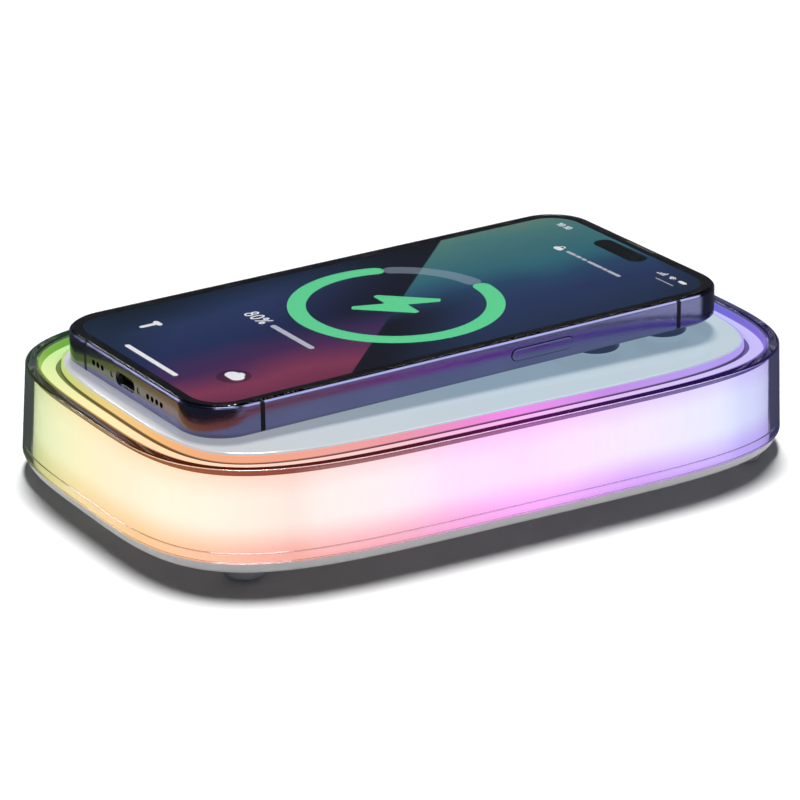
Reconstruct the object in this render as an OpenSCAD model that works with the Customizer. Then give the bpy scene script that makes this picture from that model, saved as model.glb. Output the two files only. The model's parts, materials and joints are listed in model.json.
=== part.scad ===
// Light-up wireless charging pad with a smartphone lying on it, screen up.
// X runs along the long side, from the phone's socket end (-X) to its camera end (+X).
// Y runs to the back and Z up. The origin is the middle of the footprint, on the table.
// All sizes are in millimetres.

/* [Charging pad] */
// Length of the pad at the lower edge of its clear shell
pad_length = 176.6; // [170:0.2:184]
// Width of the pad at the lower edge of its clear shell
pad_width = 113.4; // [108:0.2:120]
// Squareness of the outline: 2 is an ellipse, and larger is squarer
squareness = 4.7; // [4:0.1:6]
// Clear height under the base, which is what the feet stand proud
foot_height = 2.6; // [2:0.1:4]
// Visible height of the white base under the shell
base_edge = 2.6; // [2:0.1:3]
// Height of the clear shell
shell_height = 22; // [21:0.5:24]
// How far the shell leans in from bottom to top
shell_lean = 1.2; // [0.6:0.1:1.8]
// Thickness of the shell's wall
shell_wall = 2.5; // [2.2:0.1:2.8]
// How far the charging plate stands above the shell's rim
plate_proud = 0.4; // [0.3:0.1:1]

/* [Coil] */
// Outer radius of the transmitting coil
coil_r = 21; // [19:0.5:22]
// Number of turns in a coil
coil_turns = 9; // [6:1:10]
// Number of magnets in an alignment ring
magnet_count = 16; // [12:2:18]

/* [Light] */
// Number of light emitters round the pad
led_count = 28; // [16:4:32]

/* [Phone] */
// Length of the phone
phone_length = 147.5; // [147:0.1:148]
// Width of the phone
phone_width = 71.5; // [71:0.1:72]
// Thickness of the phone without its lenses
phone_thickness = 8; // [7.8:0.05:8.2]
// Radius of the phone's corners
phone_corner = 11.5; // [11:0.5:12]
// How far the lenses stand proud of the back
lens_proud = 2.7; // [2.4:0.1:3]
// Where the phone's middle lies along the pad
phone_x = -0.55; // [-1.5:0.05:1.5]
// Where the phone's middle lies across the pad
phone_y = 3.58; // [2.5:0.05:4.5]
// How far the phone is turned on the plate, in degrees
phone_turn = 0.66; // [0:0.02:1]

/* [Controls] */
// Travel of the phone's push buttons
key_travel = 0.25; // [0.2:0.05:0.3]
// Travel of the silent switch
switch_travel = 1.2; // [1:0.1:1.2]
// Travel of the pad's light button
light_travel = 0.4; // [0.3:0.05:0.4]

/* [Hidden] */

// Clearance between pieces that are assembled together
gap = 0.1;
// Overlap that makes a cut run clear through a face
eps = 0.5;

// Pad: heights
z_base = foot_height;
z_shell = z_base + base_edge;
z_rim = z_shell + shell_height;
z_plate = z_rim + plate_proud;
tray_floor = 1.8;
z_floor = z_base + tray_floor;
plate_thick = 1.8;
z_plate_under = z_plate - plate_thick;
z_ledge_out = z_rim - 2.3;
z_ledge_in = z_rim - 1.2;
z_groove = z_rim - 2.6;

// Pad: outline
half_l = pad_length / 2;
half_w = pad_width / 2;
power_x = squareness;
power_y = 2 + (squareness - 2) * half_w / half_l;
outline_steps = 96;

// Pad: how far each edge lies in from the outline at the shell's foot
base_in = 1;
lip_in = 2;
air_in = shell_wall + 0.4;
diffuser_wall = 1.4;
ledge_in = 8.2;
ring_in = 9.45;
plate_in = 10.2;
led_in = [11, 18];
carrier_in = plate_in + 1;

// Pad: where things stand
foot_at = [69, 42.8];
foot_r = 4.6;
post_at = [52, 28];
post_r = 3.4;
foot_recess = 0.8;
screw_r = 1.3;
head_r = 2.5;
head_recess = 1.4;
panel = [40, 3.9, 10];
panel_y = half_w - 0.55;
notch_depth = 12;
socket_x = -9;
socket_size = [8.94, 3.26];
socket_depth = 8;
socket_wall = 0.3;
button_x = 9;
button_r = 3;
flange_r = 3.9;
flange_back = 3.6;
flange_thick = 0.9;
socket_z = z_shell + 5;
board = [40, 40, 1.6];
board_y = 31;
z_board = socket_z - 1.65 - board.z;
z_post = z_floor + 5;
z_carrier = z_plate_under - 6;

// Phone: heights from its back
glass_in = 0.75;
glass_back = 0.9;
glass_front = 0.6;
frame_wall = 2.2;
frame_low = 0.35;
frame_high = phone_thickness - 0.35;
z_mid = 5.1;
mid_thick = 0.4;
control_z = 3.95;
plateau = [38.5, 26.5, 0.8];
plateau_place = [49.25, -19.75];
plateau_corner = 7;
lens_places = [[39.1, -26.8], [59, -26.8], [49, -13]];
lens_radii = [6, 6, 4.6];
lens_depths = [lens_proud, lens_proud, 2.4];
lens_wall = 1;
lens_set_back = 0.25;
flash_place = [61.5, -13.5];
flash_r = 2.4;
pill_place = [66.6, 0.9];
pill = [18.6, 5.2];
slit = [0.8, 12.1];
slit_x = phone_length / 2 - 1.8;
back_air = 0.02;

// Phone: the controls and openings in its band
key_height = 3;
key_proud = 0.3;
keys = [[17.6, -1, 17.4], [34, 1, 10.4], [21, 1, 10.4]];
switch_x = 47;
switch_tab = 1.6;
sim_x = -6;
sim_size = [14.5, 1.8];
port_size = [8.8, 3.1];
port_wall = 0.3;
port_depth = 7.8;
sound_holes = [11, 13.1, 15.2, -10.6, -12.7, -14.8, -16.9];
sound_hole_r = 0.7;
end_screws = [-6.3, 6.3];
end_screw_r = 0.75;

// Phone: the tilt that brings the bottom edge and the lenses down on the plate together
phone_lift = 0.03;
lens_reach = phone_length / 2 + lens_places[0].x - lens_radii[0];
phone_tilt = asin(lens_proud / norm([lens_reach, lens_proud]));

// Facets of the lenses and of other round pieces
lens_fn = 48;

// ---------- outline of the pad ----------

// Point of the pad's outline at angle t, drawn in by inset at right angles to the edge
function outline_point(t, inset) =
    let (
        c = cos(t),
        s = sin(t),
        x = half_l * sign(c) * pow(abs(c), 2 / power_x),
        y = half_w * sign(s) * pow(abs(s), 2 / power_y),
        gx = sign(c) * power_x / half_l * pow(abs(x) / half_l, power_x - 1),
        gy = sign(s) * power_y / half_w * pow(abs(y) / half_w, power_y - 1),
        g = norm([gx, gy])
    )
    [x - inset * gx / g, y - inset * gy / g];

// The pad's outline as a flat shape
module outline(inset) {
    polygon([for (i = [0 : outline_steps - 1]) outline_point(360 * i / outline_steps, inset)]);
}

// A straight-sided slab with the pad's outline
module slab(inset, z0, z1) {
    translate([0, 0, z0])
        linear_extrude(z1 - z0)
            outline(inset);
}

// A closed ring whose section is a loop of [inset, z] points, carried round the outline
module ring(section) {
    n = len(section);
    points = [
        for (i = [0 : outline_steps - 1], p = section)
            concat(outline_point(360 * i / outline_steps, p[0]), p[1])
    ];
    faces = [
        for (i = [0 : outline_steps - 1], j = [0 : n - 1])
            let (
                k = (i + 1) % outline_steps,
                m = (j + 1) % n
            )
            each [
                [i * n + j, k * n + j, k * n + m],
                [i * n + j, k * n + m, i * n + m]
            ]
    ];
    polyhedron(points, faces, convexity = 6);
}

// A closed solid whose outline follows a list of [inset, z] levels from the bottom up
module stack(levels) {
    n = outline_steps;
    top = len(levels) - 1;
    points = [
        for (p = levels, i = [0 : n - 1])
            concat(outline_point(360 * i / n, p[0]), p[1])
    ];
    sides = [
        for (j = [0 : top - 1], i = [0 : n - 1])
            let (k = (i + 1) % n)
            each [
                [j * n + i, (j + 1) * n + i, (j + 1) * n + k],
                [j * n + i, (j + 1) * n + k, j * n + k]
            ]
    ];
    floor_face = [[for (i = [0 : n - 1]) i]];
    roof_face = [[for (i = [n - 1 : -1 : 0]) top * n + i]];
    polyhedron(points, concat(sides, floor_face, roof_face), convexity = 4);
}

// Inset of the shell's outer face at height z
function lean(z) = shell_lean * (z - z_shell) / shell_height;

// ---------- shared shapes ----------

// A flat plate with round corners, standing on z = 0
module rounded_plate(l, w, r, h) {
    linear_extrude(h) {
        square([l - 2 * r, w], center = true);
        square([l, w - 2 * r], center = true);
        for (x = [-1, 1], y = [-1, 1])
            translate([x * (l / 2 - r), y * (w / 2 - r)])
                circle(r, $fn = 64);
    }
}

// A flat shape with two round ends, long along X
module slot(l, h) {
    square([l - h, h], center = true);
    for (x = [-1, 1])
        translate([x * (l - h) / 2, 0])
            circle(h / 2, $fn = 32);
}

// A round-ended bar that runs along +Y from y0 to y1
module bar_y(l, h, y0, y1) {
    translate([0, y1, 0])
        rotate([90, 0, 0])
            linear_extrude(y1 - y0)
                slot(l, h);
}

// A round-ended bar that runs along +X from x0 to x1, wide along Y
module bar_x(l, h, x0, x1) {
    rotate([0, 0, -90])
        bar_y(l, h, x0, x1);
}

// A flat ring lying on z = 0
module washer(r_in, r_out, h) {
    difference() {
        cylinder(r = r_out, h = h, $fn = 96);
        translate([0, 0, -eps])
            cylinder(r = r_in, h = h + 2 * eps, $fn = 96);
    }
}

// A wound coil lying on z = 0, its turns as ridges on a thin bonded disc
module coil(r_in, r_out, h) {
    pitch = (r_out - r_in) / coil_turns;
    wire = pitch * 0.62;
    washer(r_in, r_out, h * 0.4);
    for (i = [0 : coil_turns - 1])
        washer(r_in + i * pitch, r_in + i * pitch + wire, h);
}

// A ring of block magnets lying on z = 0
module magnet_circle(r, size) {
    for (i = [0 : magnet_count - 1])
        rotate([0, 0, 360 * (i + 0.5) / magnet_count])
            translate([r - size.x / 2, -size.y / 2, 0])
                cube(size);
}

// The four corners of a rectangle, as places for what repeats
module at_corners(p) {
    for (x = [-1, 1], y = [-1, 1])
        translate([x * p.x, y * p.y, 0])
            children();
}

// ---------- charging pad ----------

module base_tray() {
    lip_high = 1.8;
    lip_thick = 0.7;
    standoff = [board.x * 0.42, board.y * 0.38];
    color("gainsboro")
        difference() {
            union() {
                slab(base_in + 1.3, z_base, z_base + 0.5);
                slab(base_in + 0.5, z_base + 0.5, z_base + 1.2);
                slab(base_in, z_base + 1.2, z_shell - 0.02);
                slab(lip_in + gap, z_shell - 0.02, z_shell + lip_high);
                at_corners(post_at)
                    translate([0, 0, z_base + 1])
                        cylinder(r = post_r, h = z_post - z_base - 1, $fn = 48);
            }
            difference() {
                slab(lip_in + gap + lip_thick, z_floor, z_shell + lip_high + eps);
                at_corners(post_at)
                    cylinder(r = post_r, h = z_rim, $fn = 48);
                translate([0, board_y, 0])
                    at_corners(standoff)
                        cylinder(r = 2, h = z_board - 0.02, $fn = 32);
            }
            translate([-panel.x / 2 - gap, panel_y - panel.y - gap, z_shell - 0.02])
                cube([panel.x + 2 * gap, panel.y + 8, 6]);
            at_corners(post_at) {
                cylinder(r = screw_r + 0.15, h = z_rim, $fn = 32);
                cylinder(r = head_r + 0.4, h = z_base + head_recess, $fn = 32);
            }
            at_corners(foot_at)
                cylinder(r = foot_r + gap, h = z_base + foot_recess, $fn = 48);
        }
}

// Foot number i, counted from the front left corner
module foot(i) {
    x = i % 2 == 0 ? -1 : 1;
    y = i < 2 ? -1 : 1;
    bevel = 0.5;
    top = z_base + foot_recess - 0.02;
    color("silver")
        translate([x * foot_at.x, y * foot_at.y, 0]) {
            cylinder(r1 = foot_r - bevel, r2 = foot_r, h = bevel, $fn = 48);
            translate([0, 0, bevel])
                cylinder(r = foot_r, h = top - bevel, $fn = 48);
        }
}

module base_screws() {
    head_high = head_recess - 0.12;
    drive = [3, 0.5, 1.2];
    color("dimgray")
        at_corners(post_at)
            translate([0, 0, z_base + 0.1])
                difference() {
                    union() {
                        cylinder(r = head_r, h = head_high, $fn = 48);
                        translate([0, 0, head_high - 0.08])
                            cylinder(r = screw_r, h = 9.5, $fn = 32);
                    }
                    for (a = [0, 90])
                        rotate([0, 0, a])
                            cube(drive, center = true);
                }
}

// The notch for the rear panel, cut up from the lower edge
module panel_notch() {
    translate([-panel.x / 2 - gap, half_w - notch_depth, z_shell - eps])
        cube([panel.x + 2 * gap, notch_depth + 8, panel.z + gap + eps]);
}

module clear_shell() {
    inner = shell_wall + shell_lean;
    color("lightsteelblue", 0.4)
        difference() {
            ring([
                [0.3, z_shell], [0, z_shell + 0.3],
                [lean(z_rim - 1), z_rim - 1], [shell_lean + 0.3, z_rim - 0.3],
                [shell_lean + 1, z_rim], [inner - 0.6, z_rim], [inner, z_rim - 0.6],
                [shell_wall + lean(z_shell + 2), z_shell + 2],
                [lip_in - 0.05, z_shell + 2], [lip_in - 0.05, z_shell]
            ]);
            panel_notch();
        }
}

module diffuser() {
    top_in = air_in + shell_lean;
    foot_in = air_in + 0.2;
    color("lemonchiffon")
        difference() {
            ring([
                [foot_in, z_floor + 0.02], [air_in + lean(z_rim - 0.5), z_rim - 0.5],
                [top_in + 0.5, z_rim - 0.5], [top_in + 0.8, z_ledge_out],
                [ledge_in, z_ledge_in], [ledge_in, z_groove - 0.02],
                [ledge_in + 0.2, z_groove - 0.02], [ledge_in + 0.2, z_groove - 1],
                [top_in + diffuser_wall, z_ledge_out - 1.6],
                [foot_in + diffuser_wall, z_floor + 0.02]
            ]);
            panel_notch();
        }
}

module seal_ring() {
    color("black")
        ring([
            [ledge_in + 0.05, z_groove], [ledge_in + 0.05, z_groove + 0.5],
            [ring_in - 0.05, z_groove + 0.5], [ring_in - 0.05, z_groove]
        ]);
}

module light_ring() {
    rest = z_plate_under - 0.02;
    color("plum")
        ring([
            [ledge_in + 0.3, z_groove - 1], [ledge_in + 0.3, z_groove - 0.02],
            [ring_in, z_groove - 0.02], [plate_in - 0.4, z_plate - 0.35],
            [plate_in - 0.1, z_plate - 0.35], [plate_in - 0.1, rest],
            [plate_in + 4, rest], [plate_in + 4, z_groove - 1]
        ]);
}

module charging_plate() {
    color("white")
        stack([
            [plate_in, z_plate_under], [plate_in, z_plate - 0.4],
            [plate_in + 0.12, z_plate - 0.12], [plate_in + 0.4, z_plate]
        ]);
}

module coil_carrier() {
    top = z_groove - 1.02;
    deck = 1.6;
    boss_low = z_post + 0.05;
    color("whitesmoke")
        difference() {
            union() {
                slab(carrier_in, z_carrier, z_carrier + deck);
                difference() {
                    slab(carrier_in, z_carrier + deck, top);
                    slab(carrier_in + 2.5, z_carrier, z_rim);
                }
                at_corners(post_at)
                    translate([0, 0, boss_low])
                        cylinder(r = post_r - 0.2, h = z_carrier - boss_low, $fn = 48);
            }
            at_corners(post_at)
                cylinder(r = screw_r + 0.02, h = boss_low + 4.5, $fn = 32);
            translate([12, 0, z_carrier - eps])
                cylinder(r = 3, h = deck + 2 * eps, $fn = 32);
        }
}

module ferrite_disc() {
    color("#403c3c")
        translate([0, 0, z_carrier + 1.65])
            cylinder(r = 28.5, h = 1, $fn = 96);
}

module transmit_coil() {
    color("peru")
        translate([0, 0, z_carrier + 2.7])
            coil(8.5, coil_r, 1.8);
}

module pad_magnets() {
    color("slategray")
        translate([0, 0, z_carrier + 2.7])
            magnet_circle(28, [4, 7, 2]);
}

module led_board() {
    color("ivory")
        difference() {
            slab(led_in[0], z_floor + 0.02, z_floor + 1.2);
            slab(led_in[1], z_floor - eps, z_floor + 2);
            at_corners(post_at)
                cylinder(r = post_r + 0.4, h = z_rim, $fn = 48);
            translate([-panel.x / 2 - 2, half_w - 20, z_floor - eps])
                cube([panel.x + 4, 20, 4]);
        }
}

module light_emitters() {
    size = [5, 5, 1.5];
    color("lightyellow")
        for (i = [0 : led_count - 1]) {
            t = 360 * (i + 0.5) / led_count;
            p = outline_point(t, led_in[0] + 3.6);
            behind_panel = p.y > 0 && abs(p.x) < panel.x / 2 + 6;
            by_post = min([for (x = [-1, 1], y = [-1, 1])
                norm([p.x - x * post_at.x, p.y - y * post_at.y])]) < post_r + 4;
            if (!behind_panel && !by_post)
                translate([p.x, p.y, z_floor + 1.2])
                    translate([-size.x / 2, -size.y / 2, 0])
                        difference() {
                            cube(size);
                            translate([size.x / 2, size.y / 2, 1])
                                cylinder(r = 1.8, h = 2, $fn = 32);
                        }
        }
}

module main_board() {
    color("darkgreen")
        translate([-board.x / 2, board_y - board.y / 2, z_board])
            cube(board);
}

module board_parts() {
    top = z_board + board.z;
    color("#2c2c30")
        translate([0, board_y, top]) {
            for (x = [-13, 9])
                translate([x - 4, -8, 0])
                    cube([8, 8, 1.2]);
            translate([-5, -14, 0])
                cube([10, 5, 4.2]);
            for (i = [0 : 3])
                translate([-12 + i * 8, 5, 0])
                    cylinder(r = 2.6, h = 5, $fn = 32);
            for (i = [0 : 5])
                translate([-18 + i * 6, -16.5, 0])
                    cube([2.4, 1.3, 0.9]);
        }
}

module rear_panel() {
    color("white")
        difference() {
            translate([-panel.x / 2, panel_y - panel.y, z_shell])
                cube([panel.x, panel.y, panel.z]);
            translate([socket_x, 0, socket_z])
                bar_y(socket_size.x + 0.16, socket_size.y + 0.16, panel_y - 10, panel_y + 1);
            translate([button_x, panel_y + 1, socket_z])
                rotate([90, 0, 0])
                    cylinder(r = button_r + 0.08, h = 12, $fn = 48);
            translate([button_x, panel_y - flange_back + flange_thick + 0.1, socket_z])
                rotate([90, 0, 0])
                    cylinder(r = flange_r + 0.2, h = 6, $fn = 48);
        }
}

module pad_socket() {
    inside = [socket_size.x - 2 * socket_wall, socket_size.y - 2 * socket_wall];
    back = panel_y - socket_depth;
    color("silver")
        translate([socket_x, 0, socket_z])
            difference() {
                bar_y(socket_size.x, socket_size.y, back, panel_y - 0.4);
                bar_y(inside.x, inside.y, back + 0.6, panel_y + 1);
            }
}

module pad_socket_tongue() {
    tongue = [6.6, socket_depth - 1.9, 0.7];
    color("black")
        translate([socket_x - tongue.x / 2, panel_y - socket_depth + 0.62, socket_z - tongue.z / 2])
            cube(tongue);
}

module light_switch() {
    front = panel_y - flange_back - light_travel;
    color("#303034")
        translate([button_x, 0, socket_z]) {
            translate([-3, front - 4, -1.6])
                cube([6, 3.2, 4.6]);
            translate([0, front - 0.05, 0])
                rotate([90, 0, 0])
                    cylinder(r = 1.6, h = 1.2, $fn = 32);
        }
}

module light_button() {
    color("white")
        translate([button_x, 0, socket_z]) {
            translate([0, panel_y + 0.45, 0])
                rotate([90, 0, 0])
                    cylinder(r = button_r, h = 3.4, $fn = 48);
            translate([0, panel_y - flange_back + flange_thick, 0])
                rotate([90, 0, 0])
                    cylinder(r = flange_r, h = flange_thick, $fn = 48);
        }
}

// ---------- phone ----------

// Puts a piece drawn in the phone's own frame where the phone lies. In that frame the origin
// is the middle of the back, +X runs to the camera end and +Z up to the screen.
module on_phone() {
    translate([phone_x, phone_y, z_plate + phone_lift])
        rotate([0, 0, phone_turn])
            translate([-phone_length / 2, 0, 0])
                rotate([0, -phone_tilt, 0])
                    translate([phone_length / 2, 0, 0])
                        children();
}

// A slice of the phone's outline from z0 to z1, drawn in by inset
module phone_slice(inset, z0, z1) {
    translate([0, 0, z0])
        rounded_plate(phone_length - 2 * inset, phone_width - 2 * inset,
            phone_corner - inset, z1 - z0);
}

// Plastic gaps in the steel band: two on each long side and one on each end
module antenna_slots() {
    width = 1.2;
    depth = 1;
    for (x = [-58.3, 57.3], y = [-1, 1])
        translate([x - width / 2, y * (phone_width / 2 - depth / 2 + 1) - depth / 2 - 1, 0])
            cube([width, depth + 2, phone_thickness]);
    for (s = [-1, 1])
        translate([s * (phone_length / 2 - depth / 2 + 1) - depth / 2 - 1, -s * 19.3 - width / 2, 0])
            cube([depth + 2, width, phone_thickness]);
}

// The steel band before its slots and holes are cut
module band() {
    difference() {
        union() {
            phone_slice(0.2, frame_low, frame_low + 0.2);
            phone_slice(0, frame_low + 0.2, frame_high - 0.2);
            phone_slice(0.2, frame_high - 0.2, frame_high);
        }
        phone_slice(glass_in - 0.05, -1, glass_back + 0.03);
        phone_slice(frame_wall, 0, z_mid);
        phone_slice(frame_wall, z_mid + mid_thick, phone_thickness);
        phone_slice(glass_in - 0.05, phone_thickness - glass_front - 0.03, phone_thickness + 1);
    }
}

module phone_frame() {
    edge = phone_width / 2;
    end = phone_length / 2;
    color("#484c6e")
        on_phone()
            difference() {
                band();
                antenna_slots();
                for (k = keys)
                    translate([k[0], k[1] * edge, control_z])
                        bar_y(k[2] + 2 * gap, key_height + 2 * gap, -4, 4);
                translate([switch_x, edge, control_z])
                    bar_y(6.4, switch_tab + switch_travel + 0.4, -4, 4);
                translate([sim_x, edge, control_z])
                    bar_y(sim_size.x + gap, sim_size.y + gap, -4, 4);
                translate([-end, 0, control_z])
                    bar_x(port_size.x + 2 * gap, port_size.y + 2 * gap, -4, 8);
                for (y = sound_holes)
                    translate([-end - 1, y, control_z])
                        rotate([0, 90, 0])
                            cylinder(r = sound_hole_r, h = 4, $fn = 24);
                for (y = end_screws)
                    translate([-end - 1, y, control_z])
                        rotate([0, 90, 0])
                            cylinder(r = end_screw_r + 0.05, h = 4, $fn = 24);
            }
}

module antenna_inserts() {
    color("#3a3c50")
        on_phone()
            intersection() {
                band();
                antenna_slots();
            }
}

module front_glass() {
    color("#0f141c")
        on_phone()
            difference() {
                phone_slice(glass_in, phone_thickness - glass_front, phone_thickness);
                translate([slit_x, 0, phone_thickness])
                    cube([slit.x, slit.y, 2], center = true);
            }
}

module earpiece_mesh() {
    color("#202226")
        on_phone()
            translate([slit_x - slit.x / 2, -slit.y / 2, phone_thickness - glass_front])
                translate([gap / 2, gap / 2, 0])
                    cube([slit.x - gap, slit.y - gap, glass_front - 0.15]);
}

module screen_gasket() {
    color("black")
        on_phone()
            difference() {
                phone_slice(frame_wall + 0.05, z_mid + mid_thick + 0.02,
                    phone_thickness - glass_front - 0.05);
                phone_slice(frame_wall + 0.7, 0, phone_thickness + 1);
            }
}

module display_panel() {
    color("midnightblue")
        on_phone()
            difference() {
                phone_slice(frame_wall + 0.8, z_mid + mid_thick + 0.02,
                    phone_thickness - glass_front - 0.05);
                translate(pill_place)
                    rotate([0, 0, 90])
                        linear_extrude(phone_thickness)
                            slot(pill.x + 4 * gap, pill.y + 4 * gap);
            }
}

module front_camera() {
    color("#18181c")
        on_phone()
            translate([pill_place.x, pill_place.y, z_mid + mid_thick + 0.02])
                rotate([0, 0, 90]) {
                    linear_extrude(0.6)
                        slot(pill.x, pill.y);
                    for (y = [-6, 6])
                        translate([y, 0, 0])
                            cylinder(r = 2, h = 1.4, $fn = 32);
                }
}

module back_glass() {
    color("#33364d")
        on_phone()
            phone_slice(glass_in, 0, glass_back);
}

module camera_plateau() {
    color("#3a3d55")
        on_phone()
            translate([0, 0, -plateau.z])
                difference() {
                    translate(plateau_place)
                        rounded_plate(plateau.x, plateau.y, plateau_corner, plateau.z - 0.01);
                    for (i = [0 : 2])
                        translate([lens_places[i].x, lens_places[i].y, -eps])
                            cylinder(r = lens_radii[i] + 0.05, h = 3, $fn = lens_fn);
                    translate([flash_place.x, flash_place.y, -eps])
                        cylinder(r = flash_r + 0.05, h = 3, $fn = 32);
                }
}

// Raised metal ring round lens i, from the back glass down to its own depth
module lens_ring(i) {
    r = lens_radii[i];
    deep = lens_depths[i];
    color("#5a5e80")
        on_phone()
            translate([lens_places[i].x, lens_places[i].y, -deep])
                difference() {
                    cylinder(r = r, h = deep - 0.01, $fn = lens_fn);
                    translate([0, 0, -eps])
                        cylinder(r = r - lens_wall, h = deep + 2 * eps, $fn = lens_fn);
                }
}

// Cover glass of lens i, set just inside its ring
module lens_glass(i) {
    r = lens_radii[i] - lens_wall - 0.03;
    deep = lens_depths[i] - lens_set_back;
    color("black")
        on_phone()
            translate([lens_places[i].x, lens_places[i].y, -deep])
                cylinder(r = r, h = deep - 0.02, $fn = lens_fn);
}

module flash_window() {
    color("lightyellow")
        on_phone()
            translate([flash_place.x, flash_place.y, -plateau.z])
                cylinder(r = flash_r, h = plateau.z - 0.02, $fn = 32);
}

module camera_module() {
    color("#26262a")
        on_phone()
            translate([31.5, -32, glass_back + back_air])
                cube([35.4, 24.7, z_mid - glass_back - 0.1]);
}

module receive_coil() {
    color("peru")
        on_phone()
            translate([0, 0, glass_back + back_air])
                coil(9, 20, 0.5);
}

module phone_magnets() {
    color("slategray")
        on_phone()
            translate([0, 0, glass_back + back_air])
                magnet_circle(27, [3.6, 6.5, 0.5]);
}

module battery() {
    color("#1d1d20")
        on_phone()
            translate([-50, -31, glass_back + 0.6])
                cube([78, 46, z_mid - glass_back - 0.7]);
}

module logic_board() {
    color("#1e3a5c")
        on_phone()
            translate([-50, 15.5, glass_back + 0.6]) {
                cube([104, 15.5, 0.8]);
                for (i = [0 : 3])
                    translate([58 + i * 11, 3, 0.79])
                        cube([8, 9, 1]);
                translate([6, 3, 0.79])
                    cube([24, 10, 0.7]);
            }
}

module loudspeaker() {
    color("#222226")
        on_phone()
            translate([-69, -30, glass_back + 0.1])
                cube([16, 22, z_mid - glass_back - 0.2]);
}

module vibration_motor() {
    color("#8a8c90")
        on_phone()
            translate([-69, 8, glass_back + 0.1])
                cube([14, 18, 3.2]);
}

module phone_socket() {
    end = -phone_length / 2;
    inside = [port_size.x - 2 * port_wall, port_size.y - 2 * port_wall];
    color("silver")
        on_phone()
            translate([0, 0, control_z])
                difference() {
                    bar_x(port_size.x, port_size.y, end + 0.5, end + port_depth);
                    bar_x(inside.x, inside.y, end, end + port_depth - 0.6);
                }
}

module phone_socket_tongue() {
    tongue = [port_depth - 2.42, 6.4, 0.7];
    color("black")
        on_phone()
            translate([-phone_length / 2 + 1.8, -tongue.y / 2, control_z - tongue.z / 2])
                cube(tongue);
}

module phone_screws() {
    end = -phone_length / 2;
    color("#7a7ca0")
        on_phone()
            for (y = end_screws)
                translate([end + 0.15, y, control_z])
                    rotate([0, 90, 0])
                        cylinder(r = end_screw_r, h = 3.6, $fn = 24);
}

module sim_tray() {
    edge = phone_width / 2;
    color("#5a5e80")
        on_phone()
            translate([sim_x, edge, control_z])
                difference() {
                    union() {
                        bar_y(sim_size.x, sim_size.y, -1.9, -0.05);
                        translate([-6.6, -15.5, -0.5])
                            cube([13.2, 14, 1]);
                    }
                    translate([-5, -14, -0.1])
                        cube([10, 11, 3]);
                    translate([5.4, 0, 0])
                        rotate([90, 0, 0])
                            cylinder(r = 0.4, h = 6, center = true, $fn = 24);
                }
}

// Push key i in the steel band, standing just proud of it, with a flange behind the band
module key(i) {
    k = keys[i];
    edge = phone_width / 2;
    flip = k[1] > 0 ? 0 : 180;
    color("#484c6e")
        on_phone()
            translate([k[0], k[1] * edge, control_z])
                rotate([0, 0, flip]) {
                    bar_y(k[2], key_height, -frame_wall + key_travel + 0.05, key_proud);
                    bar_y(k[2] - 2, key_height - 1, -frame_wall - 0.2, 0);
                    bar_y(k[2] + 1.4, key_height - 1, -frame_wall - 0.5, -frame_wall - 0.05);
                }
}

module silent_switch() {
    edge = phone_width / 2;
    color("#5a5e80")
        on_phone()
            translate([switch_x, edge, control_z - switch_travel / 2]) {
                bar_y(5.4, switch_tab, -frame_wall - 0.1, 0.2);
                translate([-4, -frame_wall - 0.9, -1])
                    cube([8, 0.82, 1.25]);
            }
}

base_tray();
foot(0);  // foot_1
foot(1);  // foot_2
foot(2);  // foot_3
foot(3);  // foot_4
base_screws();
clear_shell();
diffuser();
seal_ring();
light_ring();
charging_plate();
coil_carrier();
ferrite_disc();
transmit_coil();
pad_magnets();
led_board();
light_emitters();
main_board();
board_parts();
rear_panel();
pad_socket();
pad_socket_tongue();
light_switch();
light_button();
phone_frame();
antenna_inserts();
front_glass();
earpiece_mesh();
screen_gasket();
display_panel();
front_camera();
back_glass();
camera_plateau();
lens_ring(0);  // lens_ring_1
lens_ring(1);  // lens_ring_2
lens_ring(2);  // lens_ring_3
lens_glass(0);  // lens_glass_1
lens_glass(1);  // lens_glass_2
lens_glass(2);  // lens_glass_3
flash_window();
camera_module();
receive_coil();
phone_magnets();
battery();
logic_board();
loudspeaker();
vibration_motor();
phone_socket();
phone_socket_tongue();
phone_screws();
sim_tray();
key(0);  // side_button
key(1);  // volume_up
key(2);  // volume_down
silent_switch();
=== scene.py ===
import json
import math

import bmesh
import bpy
import numpy as np
from mathutils import Matrix, Quaternion, Vector


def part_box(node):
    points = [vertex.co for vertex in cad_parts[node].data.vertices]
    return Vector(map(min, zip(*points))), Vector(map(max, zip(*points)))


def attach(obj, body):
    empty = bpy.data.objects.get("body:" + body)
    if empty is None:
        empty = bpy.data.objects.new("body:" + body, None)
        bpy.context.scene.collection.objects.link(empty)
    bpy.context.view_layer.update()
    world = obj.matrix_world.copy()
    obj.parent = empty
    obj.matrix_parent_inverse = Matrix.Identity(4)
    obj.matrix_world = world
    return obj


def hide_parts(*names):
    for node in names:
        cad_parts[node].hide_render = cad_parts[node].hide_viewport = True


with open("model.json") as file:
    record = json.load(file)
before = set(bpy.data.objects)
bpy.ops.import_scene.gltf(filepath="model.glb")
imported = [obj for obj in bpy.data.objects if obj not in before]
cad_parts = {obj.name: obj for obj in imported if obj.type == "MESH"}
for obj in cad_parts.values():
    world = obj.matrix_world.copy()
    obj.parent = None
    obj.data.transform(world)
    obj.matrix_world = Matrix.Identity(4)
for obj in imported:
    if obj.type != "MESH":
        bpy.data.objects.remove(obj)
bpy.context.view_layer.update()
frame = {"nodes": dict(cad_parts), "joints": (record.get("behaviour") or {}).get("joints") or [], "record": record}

# Lengths are in millimetres until a mesh is made, which is in metres like the frame.
MM = 0.001

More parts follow.
